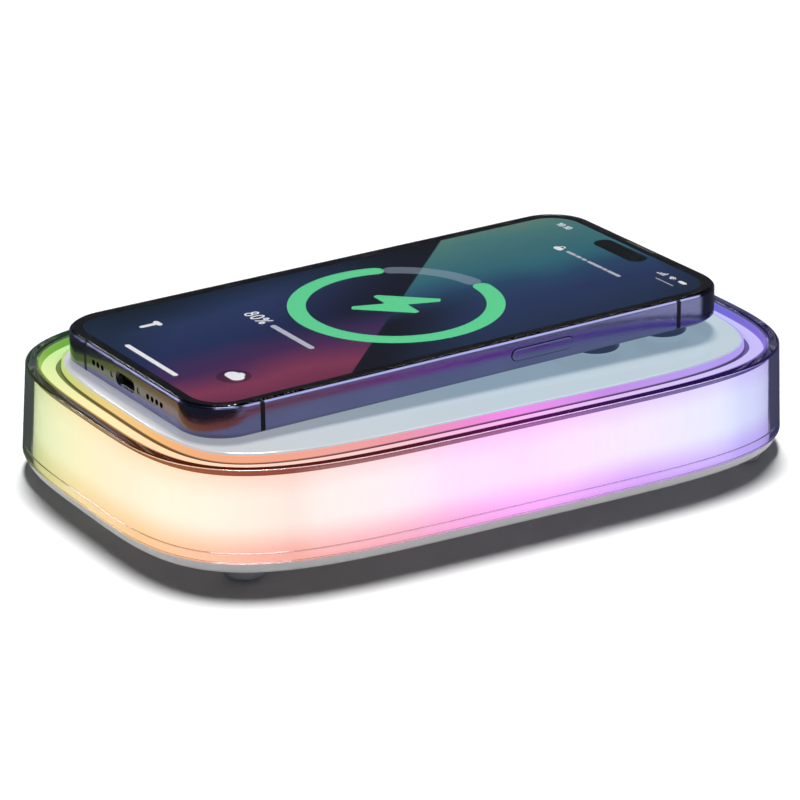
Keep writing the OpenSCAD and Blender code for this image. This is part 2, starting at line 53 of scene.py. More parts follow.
RECORD = frame["record"]
BODY_OF = {
    node: body for body, nodes in RECORD["behaviour"]["bodies"].items() for node in nodes
}
AXIS_OF = {joint["name"]: Vector(joint["axis"]).normalized() for joint in frame["joints"]}


# ---------- sizes, from the frame ----------

def box_mm(node):
    """A node's lowest and highest corners, in millimetres."""
    low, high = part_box(node)
    return np.array(low) / MM, np.array(high) / MM


def middle_of(box):
    """The middle of a box given by its lowest and highest corners."""
    return (box[0] + box[1]) / 2


shell_low, shell_high = box_mm("clear_shell")
plate_low, plate_high = box_mm("charging_plate")
ring_low, ring_high = box_mm("light_ring")
seal_low, seal_high = box_mm("seal_ring")
tray_low, tray_high = box_mm("base_tray")
wall_low, wall_high = box_mm("diffuser")
panel_low, panel_high = box_mm("rear_panel")
button_low, button_high = box_mm("light_button")

HALF_L = shell_high[0]
HALF_W = -shell_low[1]
Z_BASE = tray_low[2]
Z_SHELL = shell_low[2]
Z_RIM = shell_high[2]
Z_PLATE = plate_high[2]
Z_GROOVE = seal_low[2]

# How squarely the outline turns its corners: 2 is an ellipse
SQUARENESS = 4.7
POWER_X = SQUARENESS
POWER_Y = 2 + (SQUARENESS - 2) * HALF_W / HALF_L

# How far each edge lies in from the outline at the shell's foot
PLATE_IN = HALF_L - plate_high[0]
GROOVE_OUT = HALF_L - seal_high[0]

# The shell's wall, how far it leans in up to its rim, where the tray's lip stands in it, and
# the diffuser's gap and wall behind it
SHELL_WALL = 2.5
SHELL_LEAN = 1.2
LIP_IN = 2
AIR_GAP = 0.4
DIFFUSER_WALL = 1.4
# The gap left between faces that would otherwise lie in each other
HAIR = 0.02

# The phone's own frame: the middle of its back, +X to the camera end and +Z to the screen
PHONE_Y = AXIS_OF["sim_tray_slide"]
PHONE_Z = AXIS_OF["silent_switch_slide"]
PHONE_X = PHONE_Y.cross(PHONE_Z)


def extent(node, axis):
    """A node's lowest and highest reach along an axis, in metres."""
    reach = [vertex.co.dot(axis) for vertex in frame["nodes"][node].data.vertices]
    return min(reach), max(reach)


def phone_matrix():
    """Takes the phone's own frame to the row frame."""
    x_low, x_high = extent("back_glass", PHONE_X)
    y_low, y_high = extent("back_glass", PHONE_Y)
    z_low = extent("back_glass", PHONE_Z)[0]
    origin = PHONE_X * (x_low + x_high) / 2 + PHONE_Y * (y_low + y_high) / 2 + PHONE_Z * z_low
    turn = Matrix((PHONE_X, PHONE_Y, PHONE_Z)).transposed().to_4x4()
    return Matrix.Translation(origin) @ turn


PHONE = phone_matrix()
TO_PHONE = PHONE.inverted()


def phone_box(node):
    """A node's lowest and highest corners in the phone's own frame, in millimetres."""
    points = np.array([TO_PHONE @ vertex.co for vertex in frame["nodes"][node].data.vertices])
    return points.min(0) / MM, points.max(0) / MM


band_low, band_high = phone_box("phone_frame")
glass_low, glass_high = phone_box("front_glass")
display_low, display_high = phone_box("display_panel")
REAR_TOP = phone_box("back_glass")[1][2]

PHONE_L = band_high[0] - band_low[0]
PHONE_W = band_high[1] - band_low[1]
PHONE_T = glass_high[2]
PHONE_CORNER = 11.5
GLASS_IN = band_high[0] - glass_high[0]
FRAME_WALL = 2.2
MID_THICK = 0.4
CONTROL_Z = 3.95


# ---------- meshes ----------

OUTLINE_STEPS = 320


def fine_outline():
    """Closely spaced points of the pad's outline, with their distance along the edge."""
    quarter = np.sin(np.linspace(0, 1, 3000, endpoint=False) * np.pi / 2) ** 2
    angle = np.append(np.concatenate([k + quarter for k in range(4)]), 4) * np.pi / 2
    c, s = np.cos(angle), np.sin(angle)
    x = HALF_L * np.sign(c) * np.abs(c) ** (2 / POWER_X)
    y = HALF_W * np.sign(s) * np.abs(s) ** (2 / POWER_Y)
    run = np.concatenate([[0], np.cumsum(np.hypot(np.diff(x), np.diff(y)))])
    return x, y, run


def even_outline():
    """Evenly spaced points of the outline and their inward normals."""
    x, y, run = fine_outline()
    places = np.linspace(0, run[-1], OUTLINE_STEPS, endpoint=False)
    px, py = np.interp(places, run, x), np.interp(places, run, y)
    gx = np.sign(px) * POWER_X / HALF_L * np.abs(px / HALF_L) ** (POWER_X - 1)
    gy = np.sign(py) * POWER_Y / HALF_W * np.abs(py / HALF_W) ** (POWER_Y - 1)
    length = np.hypot(gx, gy)
    return np.stack([px, py], 1), -np.stack([gx / length, gy / length], 1)


OUTLINE, INWARD = even_outline()


def pad_outline(inset):
    """The pad's outline, drawn in by inset at right angles to the edge."""
    return OUTLINE + INWARD * inset


def phone_outline(inset, steps=14):
    """The phone's rounded rectangle, drawn in by inset."""
    radius = PHONE_CORNER - inset
    centre = np.array([PHONE_L / 2 - PHONE_CORNER, PHONE_W / 2 - PHONE_CORNER])
    points = []
    for quarter, (sx, sy) in enumerate(((1, 1), (-1, 1), (-1, -1), (1, -1))):
        for angle in np.linspace(quarter, quarter + 1, steps + 1) * math.pi / 2:
            turn = np.array([math.cos(angle), math.sin(angle)])
            points.append(centre * (sx, sy) + radius * turn)
    return np.array(points)


def rounded(corners, steps=5):
    """A loop of (x, y, radius) corners as points, each corner turned by its radius."""
    points = []
    count = len(corners)
    for i, (x, y, radius) in enumerate(corners):
        here = Vector((x, y))
        if not radius:
            points.append(tuple(here))
            continue
        before = (Vector(corners[i - 1][:2]) - here).normalized()
        after = (Vector(corners[(i + 1) % count][:2]) - here).normalized()
        half = before.angle(after) / 2
        centre = here + (before + after).normalized() * radius / math.sin(half)
        start = here + before * radius / math.tan(half) - centre
        end = here + after * radius / math.tan(half) - centre
        for share in np.linspace(0, 1, steps + 1):
            spoke = (start * (1 - share) + end * share).normalized() * radius
            points.append(tuple(centre + spoke))
    return points


def mesh_from(name, points, faces, tags=None):
    """A mesh from points in millimetres, with its faces turned outward."""
    mesh = bpy.data.meshes.new(name)
    mesh.from_pydata((np.array(points) * MM).tolist(), [], faces)
    if tags is not None:
        mesh.polygons.foreach_set("material_index", tags)
    made = bmesh.new()
    made.from_mesh(mesh)
    bmesh.ops.recalc_face_normals(made, faces=made.faces)
    made.to_mesh(mesh)
    made.free()
    return mesh


def skin_mesh(name, loops, closed=False, tags=None):
    """Loops of points joined in order: a ring when closed, or else a solid with end caps. A tag
    for each loop chooses the material of the faces from it to the next."""
    rows, count = len(loops), len(loops[0])
    faces = []
    if not closed:
        faces += [tuple(range(count)), tuple(range((rows - 1) * count, rows * count))]
    face_tags = [0] * len(faces)
    for j in range(rows if closed else rows - 1):
        low, high = j * count, (j + 1) % rows * count
        for i in range(count):
            k = (i + 1) % count
            faces.append((low + i, low + k, high + k, high + i))
            face_tags.append(tags[j] if tags else 0)
    return mesh_from(name, np.reshape(loops, (-1, 3)), faces, face_tags)


def lofted(section, outline):
    """The section's (inset, z) points carried round an outline, one loop of points each."""
    return [[(x, y, z) for x, y in outline(inset)] for inset, z in section]


def ring_mesh(name, section, outline=pad_outline, tags=None):
    """A ring round an outline, whose section is a closed loop of (inset, z) points."""
    return skin_mesh(name, lofted(section, outline), True, tags)


def stack_mesh(name, section, outline=pad_outline, tags=None):
    """A solid whose outline follows (inset, z) levels from its first cap to its last."""
    return skin_mesh(name, lofted(section, outline), False, tags)


def lathe_mesh(name, profile, steps=72):
    """A round solid about Z from a profile of (radius, z) points; a first or last 0 is a tip."""
    angles = np.arange(steps) * 2 * math.pi / steps
    points, rows = [], []
    for radius, z in profile:
        rows.append(len(points))
        if radius == 0:
            points.append((0, 0, z))
        else:
            points += [(radius * math.cos(a), radius * math.sin(a), z) for a in angles]
    faces = []
    pairs = list(range(len(profile) - 1))
    if profile[0][0] and profile[-1][0]:
        pairs.append(len(profile) - 1)
    for j in pairs:
        m = (j + 1) % len(profile)
        for i in range(steps):
            k = (i + 1) % steps
            low = [rows[j]] if profile[j][0] == 0 else [rows[j] + i, rows[j] + k]
            high = [rows[m]] if profile[m][0] == 0 else [rows[m] + k, rows[m] + i]
            faces.append(tuple(low + high))
    return mesh_from(name, points, faces)


def slab_mesh(name, shapes, z_low, z_high):
    """Flat shapes, each a loop of (x, y) points, given a thickness."""
    points, faces = [], []
    for shape in shapes:
        first, count = len(points), len(shape)
        points += [(x, y, z_low) for x, y in shape] + [(x, y, z_high) for x, y in shape]
        faces.append(tuple(range(first, first + count)))
        faces.append(tuple(range(first + count, first + 2 * count)))
        for i in range(count):
            k = (i + 1) % count
            faces.append((first + i, first + k, first + count + k, first + count + i))
    return mesh_from(name, points, faces)


def on_circle(centre, radius, angles):
    """Points on a circle, at angles in radians."""
    return [(centre[0] + radius * math.cos(a), centre[1] + radius * math.sin(a)) for a in angles]


def bar_shape(start, end, width, steps=8):
    """A round-ended bar between two points."""
    along = math.atan2(end[1] - start[1], end[0] - start[0])
    cap = along + np.linspace(-0.5, 0.5, steps + 1) * math.pi
    return on_circle(end, width / 2, cap) + on_circle(start, width / 2, cap + math.pi)


def arc_shape(centre, radius, width, start, end, steps=64):
    """A round-ended band along an arc, its angles in degrees."""
    sweep = np.radians(np.linspace(start, end, steps + 1))
    cap = np.linspace(0, math.pi, 10)[1:-1]
    first, last = on_circle(centre, radius, (sweep[0], sweep[-1]))
    return (
        on_circle(centre, radius + width / 2, sweep)
        + on_circle(last, width / 2, sweep[-1] + cap)
        + on_circle(centre, radius - width / 2, sweep[::-1])
        + on_circle(first, width / 2, sweep[0] + math.pi + cap)
    )


def moved(mesh, place, turn=0, about="Z"):
    """The mesh turned by so many degrees about an axis, then moved by millimetres."""
    shift = Matrix.Translation(Vector(place) * MM)
    mesh.transform(shift @ Matrix.Rotation(math.radians(turn), 4, about))
    return mesh


def carved(mesh, cutters, operation="DIFFERENCE"):
    """The mesh with each cutter's solid taken away from it."""
    work, *tools = [bpy.data.objects.new("tool", part) for part in (mesh, *cutters)]
    for item in (work, *tools):
        bpy.context.scene.collection.objects.link(item)
    for tool in tools:
        cut = work.modifiers.new("cut", "BOOLEAN")
        cut.operation = operation
        cut.solver = "EXACT"
        cut.object = tool
    bpy.context.view_layer.update()
    done = bpy.data.meshes.new_from_object(
        work.evaluated_get(bpy.context.evaluated_depsgraph_get())
    )
    for item in (work, *tools):
        bpy.data.objects.remove(item)
    name = mesh.name
    bpy.data.meshes.remove(mesh)
    done.name = name
    return done


def block_mesh(low, high):
    """A box between two corners, for cutting."""
    shape = [(low[0], low[1]), (high[0], low[1]), (high[0], high[1]), (low[0], high[1])]
    return slab_mesh("block", [shape], low[2], high[2])


def rod_mesh(radius, start, end):
    """A cylinder from one point to another, for cutting."""
    start, end = Vector(start), Vector(end)
    length = (end - start).length
    mesh = lathe_mesh("rod", [(0, 0), (radius, 0), (radius, length), (0, length)], 32)
    turn = Vector((0, 0, 1)).rotation_difference(end - start).to_matrix().to_4x4()
    mesh.transform(Matrix.Translation(start * MM) @ turn)
    return mesh


def bar_mesh(name, length, height, depth_low, depth_high, edge=0.0):
    """A round-ended bar lying along X and deep along Y, with its Y+ edge eased by a bevel."""
    half = (length - height) / 2
    levels = [(depth_low, 0), (depth_high - edge, 0)]
    if edge:
        levels += [(depth_high - edge * 0.3, edge * 0.3), (depth_high, edge)]
    loops = []
    for depth, inset in levels:
        loop = bar_shape((-half, 0), (half, 0), height - 2 * inset)
        loops.append([(x, depth, z) for x, z in loop])
    return skin_mesh(name, loops)


# ---------- pieces ----------

def dressed(mesh, materials):
    """The mesh with its materials, which its faces' tags choose from."""
    for material in materials:
        mesh.materials.append(material)
    return mesh


# Faces that meet at a larger angle keep a sharp edge
CREASE = math.radians(32)


def add_piece(mesh, material, node, place=None):
    """Shows a mesh as a piece that stands for a CAD node, on its body and with its slot. A
    dressed mesh keeps its own materials."""
    if not mesh.materials:
        mesh.materials.append(material)
    mesh.shade_smooth()
    mesh.set_sharp_from_angle(angle=CREASE)
    piece = bpy.data.objects.new(mesh.name, mesh)
    bpy.context.scene.collection.objects.link(piece)
    if place is not None:
        piece.matrix_world = place
    weighted = piece.modifiers.new("even shading", "WEIGHTED_NORMAL")
    weighted.keep_sharp = True
    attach(piece, BODY_OF[node])
    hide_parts(node)
    return piece


def finish_node(node, material):
    """Gives a CAD node that stays its material."""
    mesh = frame["nodes"][node].data
    mesh.materials.clear()
    mesh.materials.append(material)


# ---------- materials ----------

def linear(red, green, blue):
    """A colour given as 0 to 255 on screen, as the shader's linear values."""
    values = [c / 255 for c in (red, green, blue)]
    return [*(c / 12.92 if c < 0.04045 else ((c + 0.055) / 1.055) ** 2.4 for c in values), 1]


class Nodes:
    """A node tree, with short calls that add and join its nodes."""

    def __init__(self, tree):
        self.tree = tree

    def add(self, kind, inputs=(), **settings):
        node = self.tree.nodes.new("ShaderNode" + kind)
        for key, value in settings.items():
            setattr(node, key, value)
        for key, value in dict(inputs).items():
            self.put(node.inputs[key], value)
        return node

    def put(self, socket, value):
        if isinstance(value, bpy.types.NodeSocket):
            self.tree.links.new(value, socket)
        else:
            socket.default_value = value

    def math(self, operation, first, second=0.0, third=0.0):
        node = self.add("Math", {0: first, 1: second, 2: third}, operation=operation)
        return node.outputs[0]

    def span(self, value, low, high, to_low=0.0, to_high=1.0, kind="LINEAR"):
        """Maps a value from one range to another, held at its ends."""
        inputs = {"Value": value, "From Min": low, "From Max": high}
        inputs.update({"To Min": to_low, "To Max": to_high})
        return self.add("MapRange", inputs, interpolation_type=kind).outputs["Result"]

    def mix(self, share, first, second):
        """A colour between two others."""
        return self.add("Mix", {0: share, 6: first, 7: second}, data_type="RGBA").outputs[2]

    def ramp(self, value, stops):
        """A colour for each of a list of (position, colour) stops."""
        node = self.add("ValToRGB", {"Fac": value})
        elements = node.color_ramp.elements
        while len(elements) < len(stops):
            elements.new(0.5)
        for element, (position, colour) in zip(elements, stops):
            element.position = position
            element.color = colour
        return node.outputs["Color"]


class Shader(Nodes):
    """A material's nodes, round its Principled shader."""

    def __init__(self, name):
        self.material = bpy.data.materials.new(name)
        self.material.use_nodes = True
        super().__init__(self.material.node_tree)
        self.surface = self.tree.nodes["Principled BSDF"]
        self.coords = self.add("TexCoord").outputs["Object"]

    def set(self, **values):
        """Sets the shader's inputs, whose names are written with _ for a space."""
        for key, value in values.items():
            self.put(self.surface.inputs[key.replace("_", " ")], value)

    def axis(self, letter):
        return self.add("SeparateXYZ", {0: self.coords}).outputs[letter]

    def noise(self, per_mm, detail=3.0, stretch=(1, 1, 1)):
        """Noise with so many features a millimetre."""
        spread = self.add("Mapping", {"Vector": self.coords, "Scale": stretch})
        inputs = {"Vector": spread.outputs[0], "Scale": per_mm / MM, "Detail": detail}
        return self.add("TexNoise", inputs).outputs["Fac"]

    def bump(self, height, depth):
        """Relief of so many millimetres."""
        inputs = {"Height": height, "Distance": depth * MM}
        self.set(Normal=self.add("Bump", inputs).outputs["Normal"])


def plain(name, colour, rough, metallic=0.0, grain=1.5, vary=0.06, relief=0.01):
    """A moulded, painted or metal finish: slight changes of shade and gloss, and a fine relief."""
    shader = Shader(name)
    cloud = shader.noise(0.04, 2)
    fine = shader.noise(grain, 4)
    darker = [c * (1 - vary) for c in colour] + [1]
    lighter = [min(1, c * (1 + vary)) for c in colour] + [1]
    blend = shader.math("MULTIPLY_ADD", fine, 0.4, shader.math("MULTIPLY", cloud, 0.6))
    shader.set(
        Base_Color=shader.mix(shader.span(blend, 0.3, 0.7), darker, lighter),
        Roughness=shader.span(fine, 0.3, 0.7, rough * 0.85, rough * 1.15),
        Metallic=metallic,
    )
    shader.bump(fine, relief)
    return shader


# The colours of the light round the pad: the direction in degrees, the deep colour near the
# edges and the pale one at half height
GLOW = (
    (-180, (250, 220, 155), (255, 245, 195)),
    (-165, (255, 205, 145), (255, 240, 205)),
    (-145, (255, 185, 160), (255, 240, 220)),
    (-125, (250, 170, 185), (255, 235, 235)),
    (-110, (250, 165, 220), (255, 225, 250)),
    (-90, (255, 165, 250), (255, 220, 255)),
    (-60, (215, 160, 245), (245, 230, 255)),
    (-40, (200, 175, 250), (225, 230, 255)),
    (-20, (195, 180, 250), (215, 210, 255)),
    (30, (150, 190, 255), (195, 225, 255)),
    (75, (140, 225, 250), (200, 245, 255)),
    (120, (160, 235, 180), (210, 250, 205)),
    (150, (190, 225, 140), (225, 250, 185)),
    (180, (250, 220, 155), (255, 245, 195)),
)

# How much brighter the light is at the pad's left end
END_BOOST = 1.22


def glow_colour(shader, column):
    """A column of the table as a colour that changes with the direction from the pad's middle."""
    angle = shader.math("ARCTAN2", shader.axis("Y"), shader.axis("X"))
    turn = shader.span(angle, -math.pi, math.pi)
    return shader.ramp(turn, [((row[0] + 180) / 360, linear(*row[column])) for row in GLOW])


def glow(name, pale_low, pale_high, strength, depth=1.0, dark_below=None):
    """Milky plastic lit from inside. Its colour changes round the pad, and goes from deep where
    the light is low to pale at half height; depth above 1 makes it deeper still. It's dim below
    a height, where little light reaches."""
    shader = Shader(name)
    height = shader.span(shader.axis("Z"), Z_SHELL * MM, Z_RIM * MM)
    rise = shader.span(height, 0.02, 0.42, 0, 1, "SMOOTHSTEP")
    fall = shader.span(height, 0.6, 1.0, 1, 0.45, "SMOOTHSTEP")
    share = shader.span(shader.math("MULTIPLY", rise, fall), 0, 1, pale_low, pale_high)
    cloud = shader.span(shader.noise(0.03, 1), 0.3, 0.7, -0.08, 0.08)
    share = shader.math("ADD", share, cloud)
    colour = shader.mix(share, glow_colour(shader, 1), glow_colour(shader, 2))
    if depth != 1.0:
        colour = shader.add("Gamma", {"Color": colour, "Gamma": depth}).outputs[0]
    if dark_below is None:
        end = -HALF_L * MM
        factor = shader.span(shader.axis("X"), end, end * 0.7, END_BOOST, 1.0)
    else:
        low, high = (dark_below - 0.15) * MM, (dark_below + 0.1) * MM
        factor = shader.span(shader.axis("Z"), low, high, 0.16, 1.0)
    fine = shader.span(shader.noise(2.0, 2), 0.3, 0.7)
    shader.set(
        Base_Color=shader.mix(fine, [0.03] * 3 + [1], [0.05] * 3 + [1]),
        Roughness=shader.span(fine, 0, 1, 0.4, 0.5),
        Specular_IOR_Level=0.1,
        Emission_Color=colour,
        Emission_Strength=shader.math("MULTIPLY", factor, strength),
    )
    return shader.material


def clear_acrylic():
    """Clear moulded wall: a faint violet cast, fine polish marks, and light scattered in it."""
    shader = Shader("clear_acrylic")
    marks = shader.noise(0.6, 3, (1, 1, 0.2))
    deep = shader.add("Gamma", {"Color": glow_colour(shader, 1), "Gamma": 3.0}).outputs[0]
    shader.set(
        Base_Color=shader.mix(marks, linear(244, 246, 252), linear(250, 251, 255)),
        Roughness=shader.span(marks, 0.3, 0.7, 0.0, 0.02),
        Transmission_Weight=1.0,
        IOR=1.49,
        Emission_Color=deep,
        Emission_Strength=0.02,
    )
    inside = shader.add("VolumeAbsorption", {"Color": [0.5, 0.5, 0.56, 1], "Density": 80.0})
    shader.put(shader.tree.nodes["Material Output"].inputs["Volume"], inside.outputs[0])
    return shader.material


def polished_steel(name, colour, rough=0.14):
    """Mirror-polished coloured steel, with the faint lines of its polishing."""
    shader = Shader(name)
    lines = shader.noise(3.0, 3, (0.06, 0.06, 1))
    cloud = shader.span(shader.noise(0.05, 2), 0.3, 0.7)
    darker = [c * 0.9 for c in colour] + [1]
    shader.set(
        Base_Color=shader.mix(cloud, darker, [*colour, 1]),
        Metallic=1.0,
        Roughness=shader.span(lines, 0.3, 0.7, rough * 0.7, rough * 1.3),
    )
    shader.bump(lines, 0.0006)
    return shader.material


def cover_glass():
    """Clear glass over the lit screen, with a trace of smears."""
    shader = Shader("cover_glass")
    smears = shader.noise(0.08, 4, (1, 0.4, 1))
    shader.set(
        Base_Color=shader.mix(smears, [0.98] * 3 + [1], [1.0] * 4),
        Roughness=shader.span(smears, 0.4, 0.8, 0.0, 0.03),
        Transmission_Weight=1.0,
        IOR=1.45,
    )
    return shader.material


def lit(name, colour, strength):
    """A mark that shines on the screen, over a fine grid of picture elements."""
    shader = Shader(name)
    grain = shader.noise(4.0, 1)
    dim = [c * 0.93 for c in colour[:3]] + [1]
    shader.set(
        Base_Color=[0.0, 0.0, 0.0, 1],
        Specular_IOR_Level=0.0,
        Roughness=shader.span(grain, 0.3, 0.7, 0.5, 0.6),
        Emission_Color=shader.mix(shader.span(grain, 0.35, 0.65), dim, colour),
        Emission_Strength=strength,
    )
    return shader.material


# The picture on the screen: colours from the -Y side to the +Y side, left and right of a
# slanting line
PICTURE_LEFT = (
    (0.00, (115, 50, 80)), (0.12, (135, 60, 90)), (0.30, (75, 45, 90)),
    (0.50, (40, 50, 95)), (0.78, (45, 60, 100)), (1.00, (20, 35, 50)),
)
PICTURE_RIGHT = (
    (0.00, (35, 50, 75)), (0.34, (45, 60, 100)), (0.46, (45, 75, 110)),
    (0.58, (55, 110, 125)), (0.86, (80, 130, 130)), (1.00, (105, 140, 125)),
)
PICTURE_SLOPE = math.radians(44)
PICTURE_START = Vector((-32, -31.5))


def wallpaper(name, veil=0.0, veil_colour=(255, 255, 255)):
    """An abstract picture: a crimson to blue field and a teal to navy one, which meet on a
    slanting line and fade to black towards it. A veil shows it through a clear colour."""
    shader = Shader(name)
    x, y = shader.axis("X"), shader.axis("Y")
    offset_x = shader.math("SUBTRACT", x, PICTURE_START.x * MM)
    offset_y = shader.math("SUBTRACT", y, PICTURE_START.y * MM)
    along_x = shader.math("MULTIPLY", offset_x, math.sin(PICTURE_SLOPE))
    along_y = shader.math("MULTIPLY", offset_y, math.cos(PICTURE_SLOPE))
    beside = shader.math("SUBTRACT", along_x, along_y)
    half = PHONE_W / 2 * MM
    level = shader.span(y, -half, half)
    warp = shader.noise(0.018, 2)
    level = shader.math("ADD", level, shader.span(warp, 0.3, 0.7, -0.07, 0.07))
    left = shader.ramp(level, [(p, linear(*c)) for p, c in PICTURE_LEFT])
    right = shader.ramp(level, [(p, linear(*c)) for p, c in PICTURE_RIGHT])
    upper = shader.span(y, -12 * MM, 4 * MM, 0, 1, "SMOOTHSTEP")
    lower = shader.math("SUBTRACT", 1.0, upper)
    left_fade = shader.span(beside, -34 * MM, -2 * MM, 0, 0.9, "SMOOTHSTEP")
    right_fade = shader.span(beside, 2 * MM, 26 * MM, 0.92, 0, "SMOOTHSTEP")
    black = linear(22, 22, 30)
    left = shader.mix(shader.math("MULTIPLY", left_fade, upper), left, black)
    right = shader.mix(shader.math("MULTIPLY", right_fade, lower), right, black)
    side = shader.span(beside, -0.2 * MM, 0.2 * MM)
    picture = shader.mix(side, left, right)
    corner = shader.math("SUBTRACT", x, shader.math("MULTIPLY", y, 0.9))
    for low, high, dark_low, dark_high in ((-84, -64, 0.6, 0), (78, 92, 0, 0.45)):
        shade = shader.span(corner, low * MM, high * MM, dark_low, dark_high)
        picture = shader.mix(shade, picture, linear(26, 40, 54))
    shader.set(
        Base_Color=[0.0, 0.0, 0.0, 1],
        Specular_IOR_Level=0.0,
        Roughness=shader.span(warp, 0.3, 0.7, 0.5, 0.6),
        Emission_Color=shader.mix(veil, picture, linear(*veil_colour)),
        Emission_Strength=1.08,
    )
    return shader.material


def circuit(name, colour, trace):
    """Solder mask over a board, with the raised tracks showing through it."""
    shader = Shader(name)
    inputs = {"Vector": shader.coords, "Scale": 0.45 / MM}
    cells = shader.add("TexVoronoi", inputs, distance="CHEBYCHEV", feature="F1")
    tracks = shader.span(cells.outputs["Distance"], 0.28, 0.32)
    shader.set(
        Base_Color=shader.mix(tracks, [*trace, 1], [*colour, 1]),
        Roughness=shader.span(shader.noise(2.0, 2), 0.3, 0.7, 0.3, 0.42),
    )
    shader.bump(tracks, 0.02)
    return shader.material


# ---------- charging pad ----------

def lean(z):
    """Inset of the shell's outer face at height z."""
    return SHELL_LEAN * (z - Z_SHELL) / (Z_RIM - Z_SHELL)


def notch_tool():
    """The opening at the back for the rear panel."""
    low = (panel_low[0] - 0.1, HALF_W - 12, Z_SHELL - 3)
    high = (panel_high[0] + 0.1, HALF_W + 8, panel_high[2] + 0.1)
    return block_mesh(low, high)


FEET = (1, 2, 3, 4)
SCREW_HEAD = 2.5
SCREW_SHAFT = 1.4


def base_shell(white, lit_lip):
    """White tray with a rounded lower edge, foot and screw recesses, and a lip lit from inside."""
    floor = Z_BASE + 1.8
    lip_top = Z_SHELL + 1.8
    lip_out, lip_in = LIP_IN + 0.1, LIP_IN + 0.8
    section = rounded([
        (3.2, Z_BASE, 0), (1, Z_BASE, 1.2), (1, Z_SHELL - HAIR, 0.15), (lip_out, Z_SHELL - HAIR, 0),
        (lip_out, lip_top, 0), (lip_in, lip_top, 0), (lip_in, floor, 0),
    ])
    tags = [1 if z > Z_SHELL and inset < LIP_IN + 0.2 else 0 for inset, z in section[1:]]
    mesh = dressed(stack_mesh("base_shell", section, tags=tags), [white, lit_lip])
    cutters = []
    for index in FEET:
        box = box_mm("foot_%d" % index)
        x, y, _ = middle_of(box)
        radius = (box[1][0] - box[0][0]) / 2 + 0.1
        cutters.append(rod_mesh(radius, (x, y, 0), (x, y, Z_BASE + 0.8)))
    screw_x, screw_y, _ = box_mm("base_screws")[1] - SCREW_HEAD
    for x in (-screw_x, screw_x):
        for y in (-screw_y, screw_y):
            cutters.append(rod_mesh(SCREW_HEAD + 0.4, (x, y, 0), (x, y, Z_BASE + 1.4)))
            cutters.append(rod_mesh(SCREW_SHAFT + 0.05, (x, y, 0), (x, y, tray_high[2] + 2)))
    cutters.append(notch_tool())
    piece = add_piece(carved(mesh, cutters), None, "base_tray")
    piece.visible_diffuse = False


def clear_wall(acrylic):
    """Clear shell: a leaning wall with a softly rounded rim and a rebated foot."""
    inner_top = SHELL_WALL + SHELL_LEAN
    rebate = Z_SHELL + 2
    section = rounded([
        (0, Z_SHELL, 0.35), (SHELL_LEAN, Z_RIM, 0.55), (inner_top, Z_RIM, 0.5),
        (SHELL_WALL + lean(rebate), rebate, 0.12), (LIP_IN - 0.05, rebate, 0.12),
        (LIP_IN - 0.05, Z_SHELL, 0.15),
    ], 6)
    mesh = carved(ring_mesh("clear_wall", section), [notch_tool()])
    piece = add_piece(mesh, acrylic, "clear_shell")
    piece.visible_diffuse = False


def glow_wall(*materials):
    """Milky diffuser: the lit wall behind the shell, its lip and the ledge inside the rim. Its
    materials are for the wall, the ledge, the lip and the lip's outer face."""
    foot, top = wall_low[2], wall_high[2]
    foot_in = HALF_L - wall_high[0]
    lip_out = SHELL_WALL + AIR_GAP
    lip_in = lip_out + SHELL_LEAN + 0.5
    ledge_in = GROOVE_OUT - 0.05
    z_lip = Z_RIM - 2.1
    z_out, z_in, z_step = Z_RIM - 2.3, Z_RIM - 1.2, Z_GROOVE - HAIR
    section = rounded([
        (foot_in, foot, 0), (lip_out + lean(z_lip), z_lip, 0), (lip_out + lean(top), top, 0.2),
        (lip_in, top, 0.2), (lip_in + 0.3, z_out, 0.3), (ledge_in, z_in, 0.25),
        (ledge_in, z_step, 0), (ledge_in + 0.2, z_step, 0), (ledge_in + 0.2, Z_GROOVE - 1, 0),
        (lip_in + DIFFUSER_WALL - 0.5, z_out - 1.6, 0), (foot_in + DIFFUSER_WALL, foot, 0),
    ], 3)
    tags = []
    for (x, z), (next_x, next_z) in zip(section, section[1:] + section[:1]):
        inset, height = (x + next_x) / 2, (z + next_z) / 2
        if height > z_lip and inset < lip_out + lean(top) + 0.15:
            tags.append(3)
        elif height > z_out + 0.15 and inset < lip_in + 0.35:
            tags.append(2)
        else:
            tags.append(1 if inset > lip_in + 0.1 and height > Z_GROOVE - 0.3 else 0)
    mesh = dressed(ring_mesh("glow_wall", section, tags=tags), materials)
    piece = add_piece(carved(mesh, [notch_tool()]), None, "diffuser")
    piece.visible_diffuse = False


def groove_seal(rubber):
    """Dark seal at the bottom of the groove, its top slightly crowned."""
    high = seal_high[2]
    inner = HALF_L - (seal_high[0] - 1.15)
    section = rounded([
        (GROOVE_OUT, Z_GROOVE, 0), (GROOVE_OUT, high, 0.2),
        (inner, high, 0.2), (inner, Z_GROOVE, 0),
    ], 4)
    add_piece(ring_mesh("groove_seal", section), rubber, "seal_ring")


def glow_ring(light):
    """Lit ring round the plate: a light guide whose wall stands between groove and plate."""
    low, high = ring_low[2], ring_high[2]
    foot, back = HALF_L - ring_high[0], PLATE_IN + 4
    under_groove, under_plate = Z_GROOVE - HAIR, plate_low[2] - HAIR
    section = rounded([
        (foot, low, 0), (foot, under_groove, 0), (PLATE_IN - 0.75, under_groove, 0.1),
        (PLATE_IN - 0.45, high, 0.15), (PLATE_IN - 0.1, high, 0.1),
        (PLATE_IN - 0.1, under_plate, 0), (back, under_plate, 0), (back, low, 0),
    ], 3)
    piece = add_piece(ring_mesh("glow_ring", section), light, "light_ring")
    piece.visible_diffuse = False


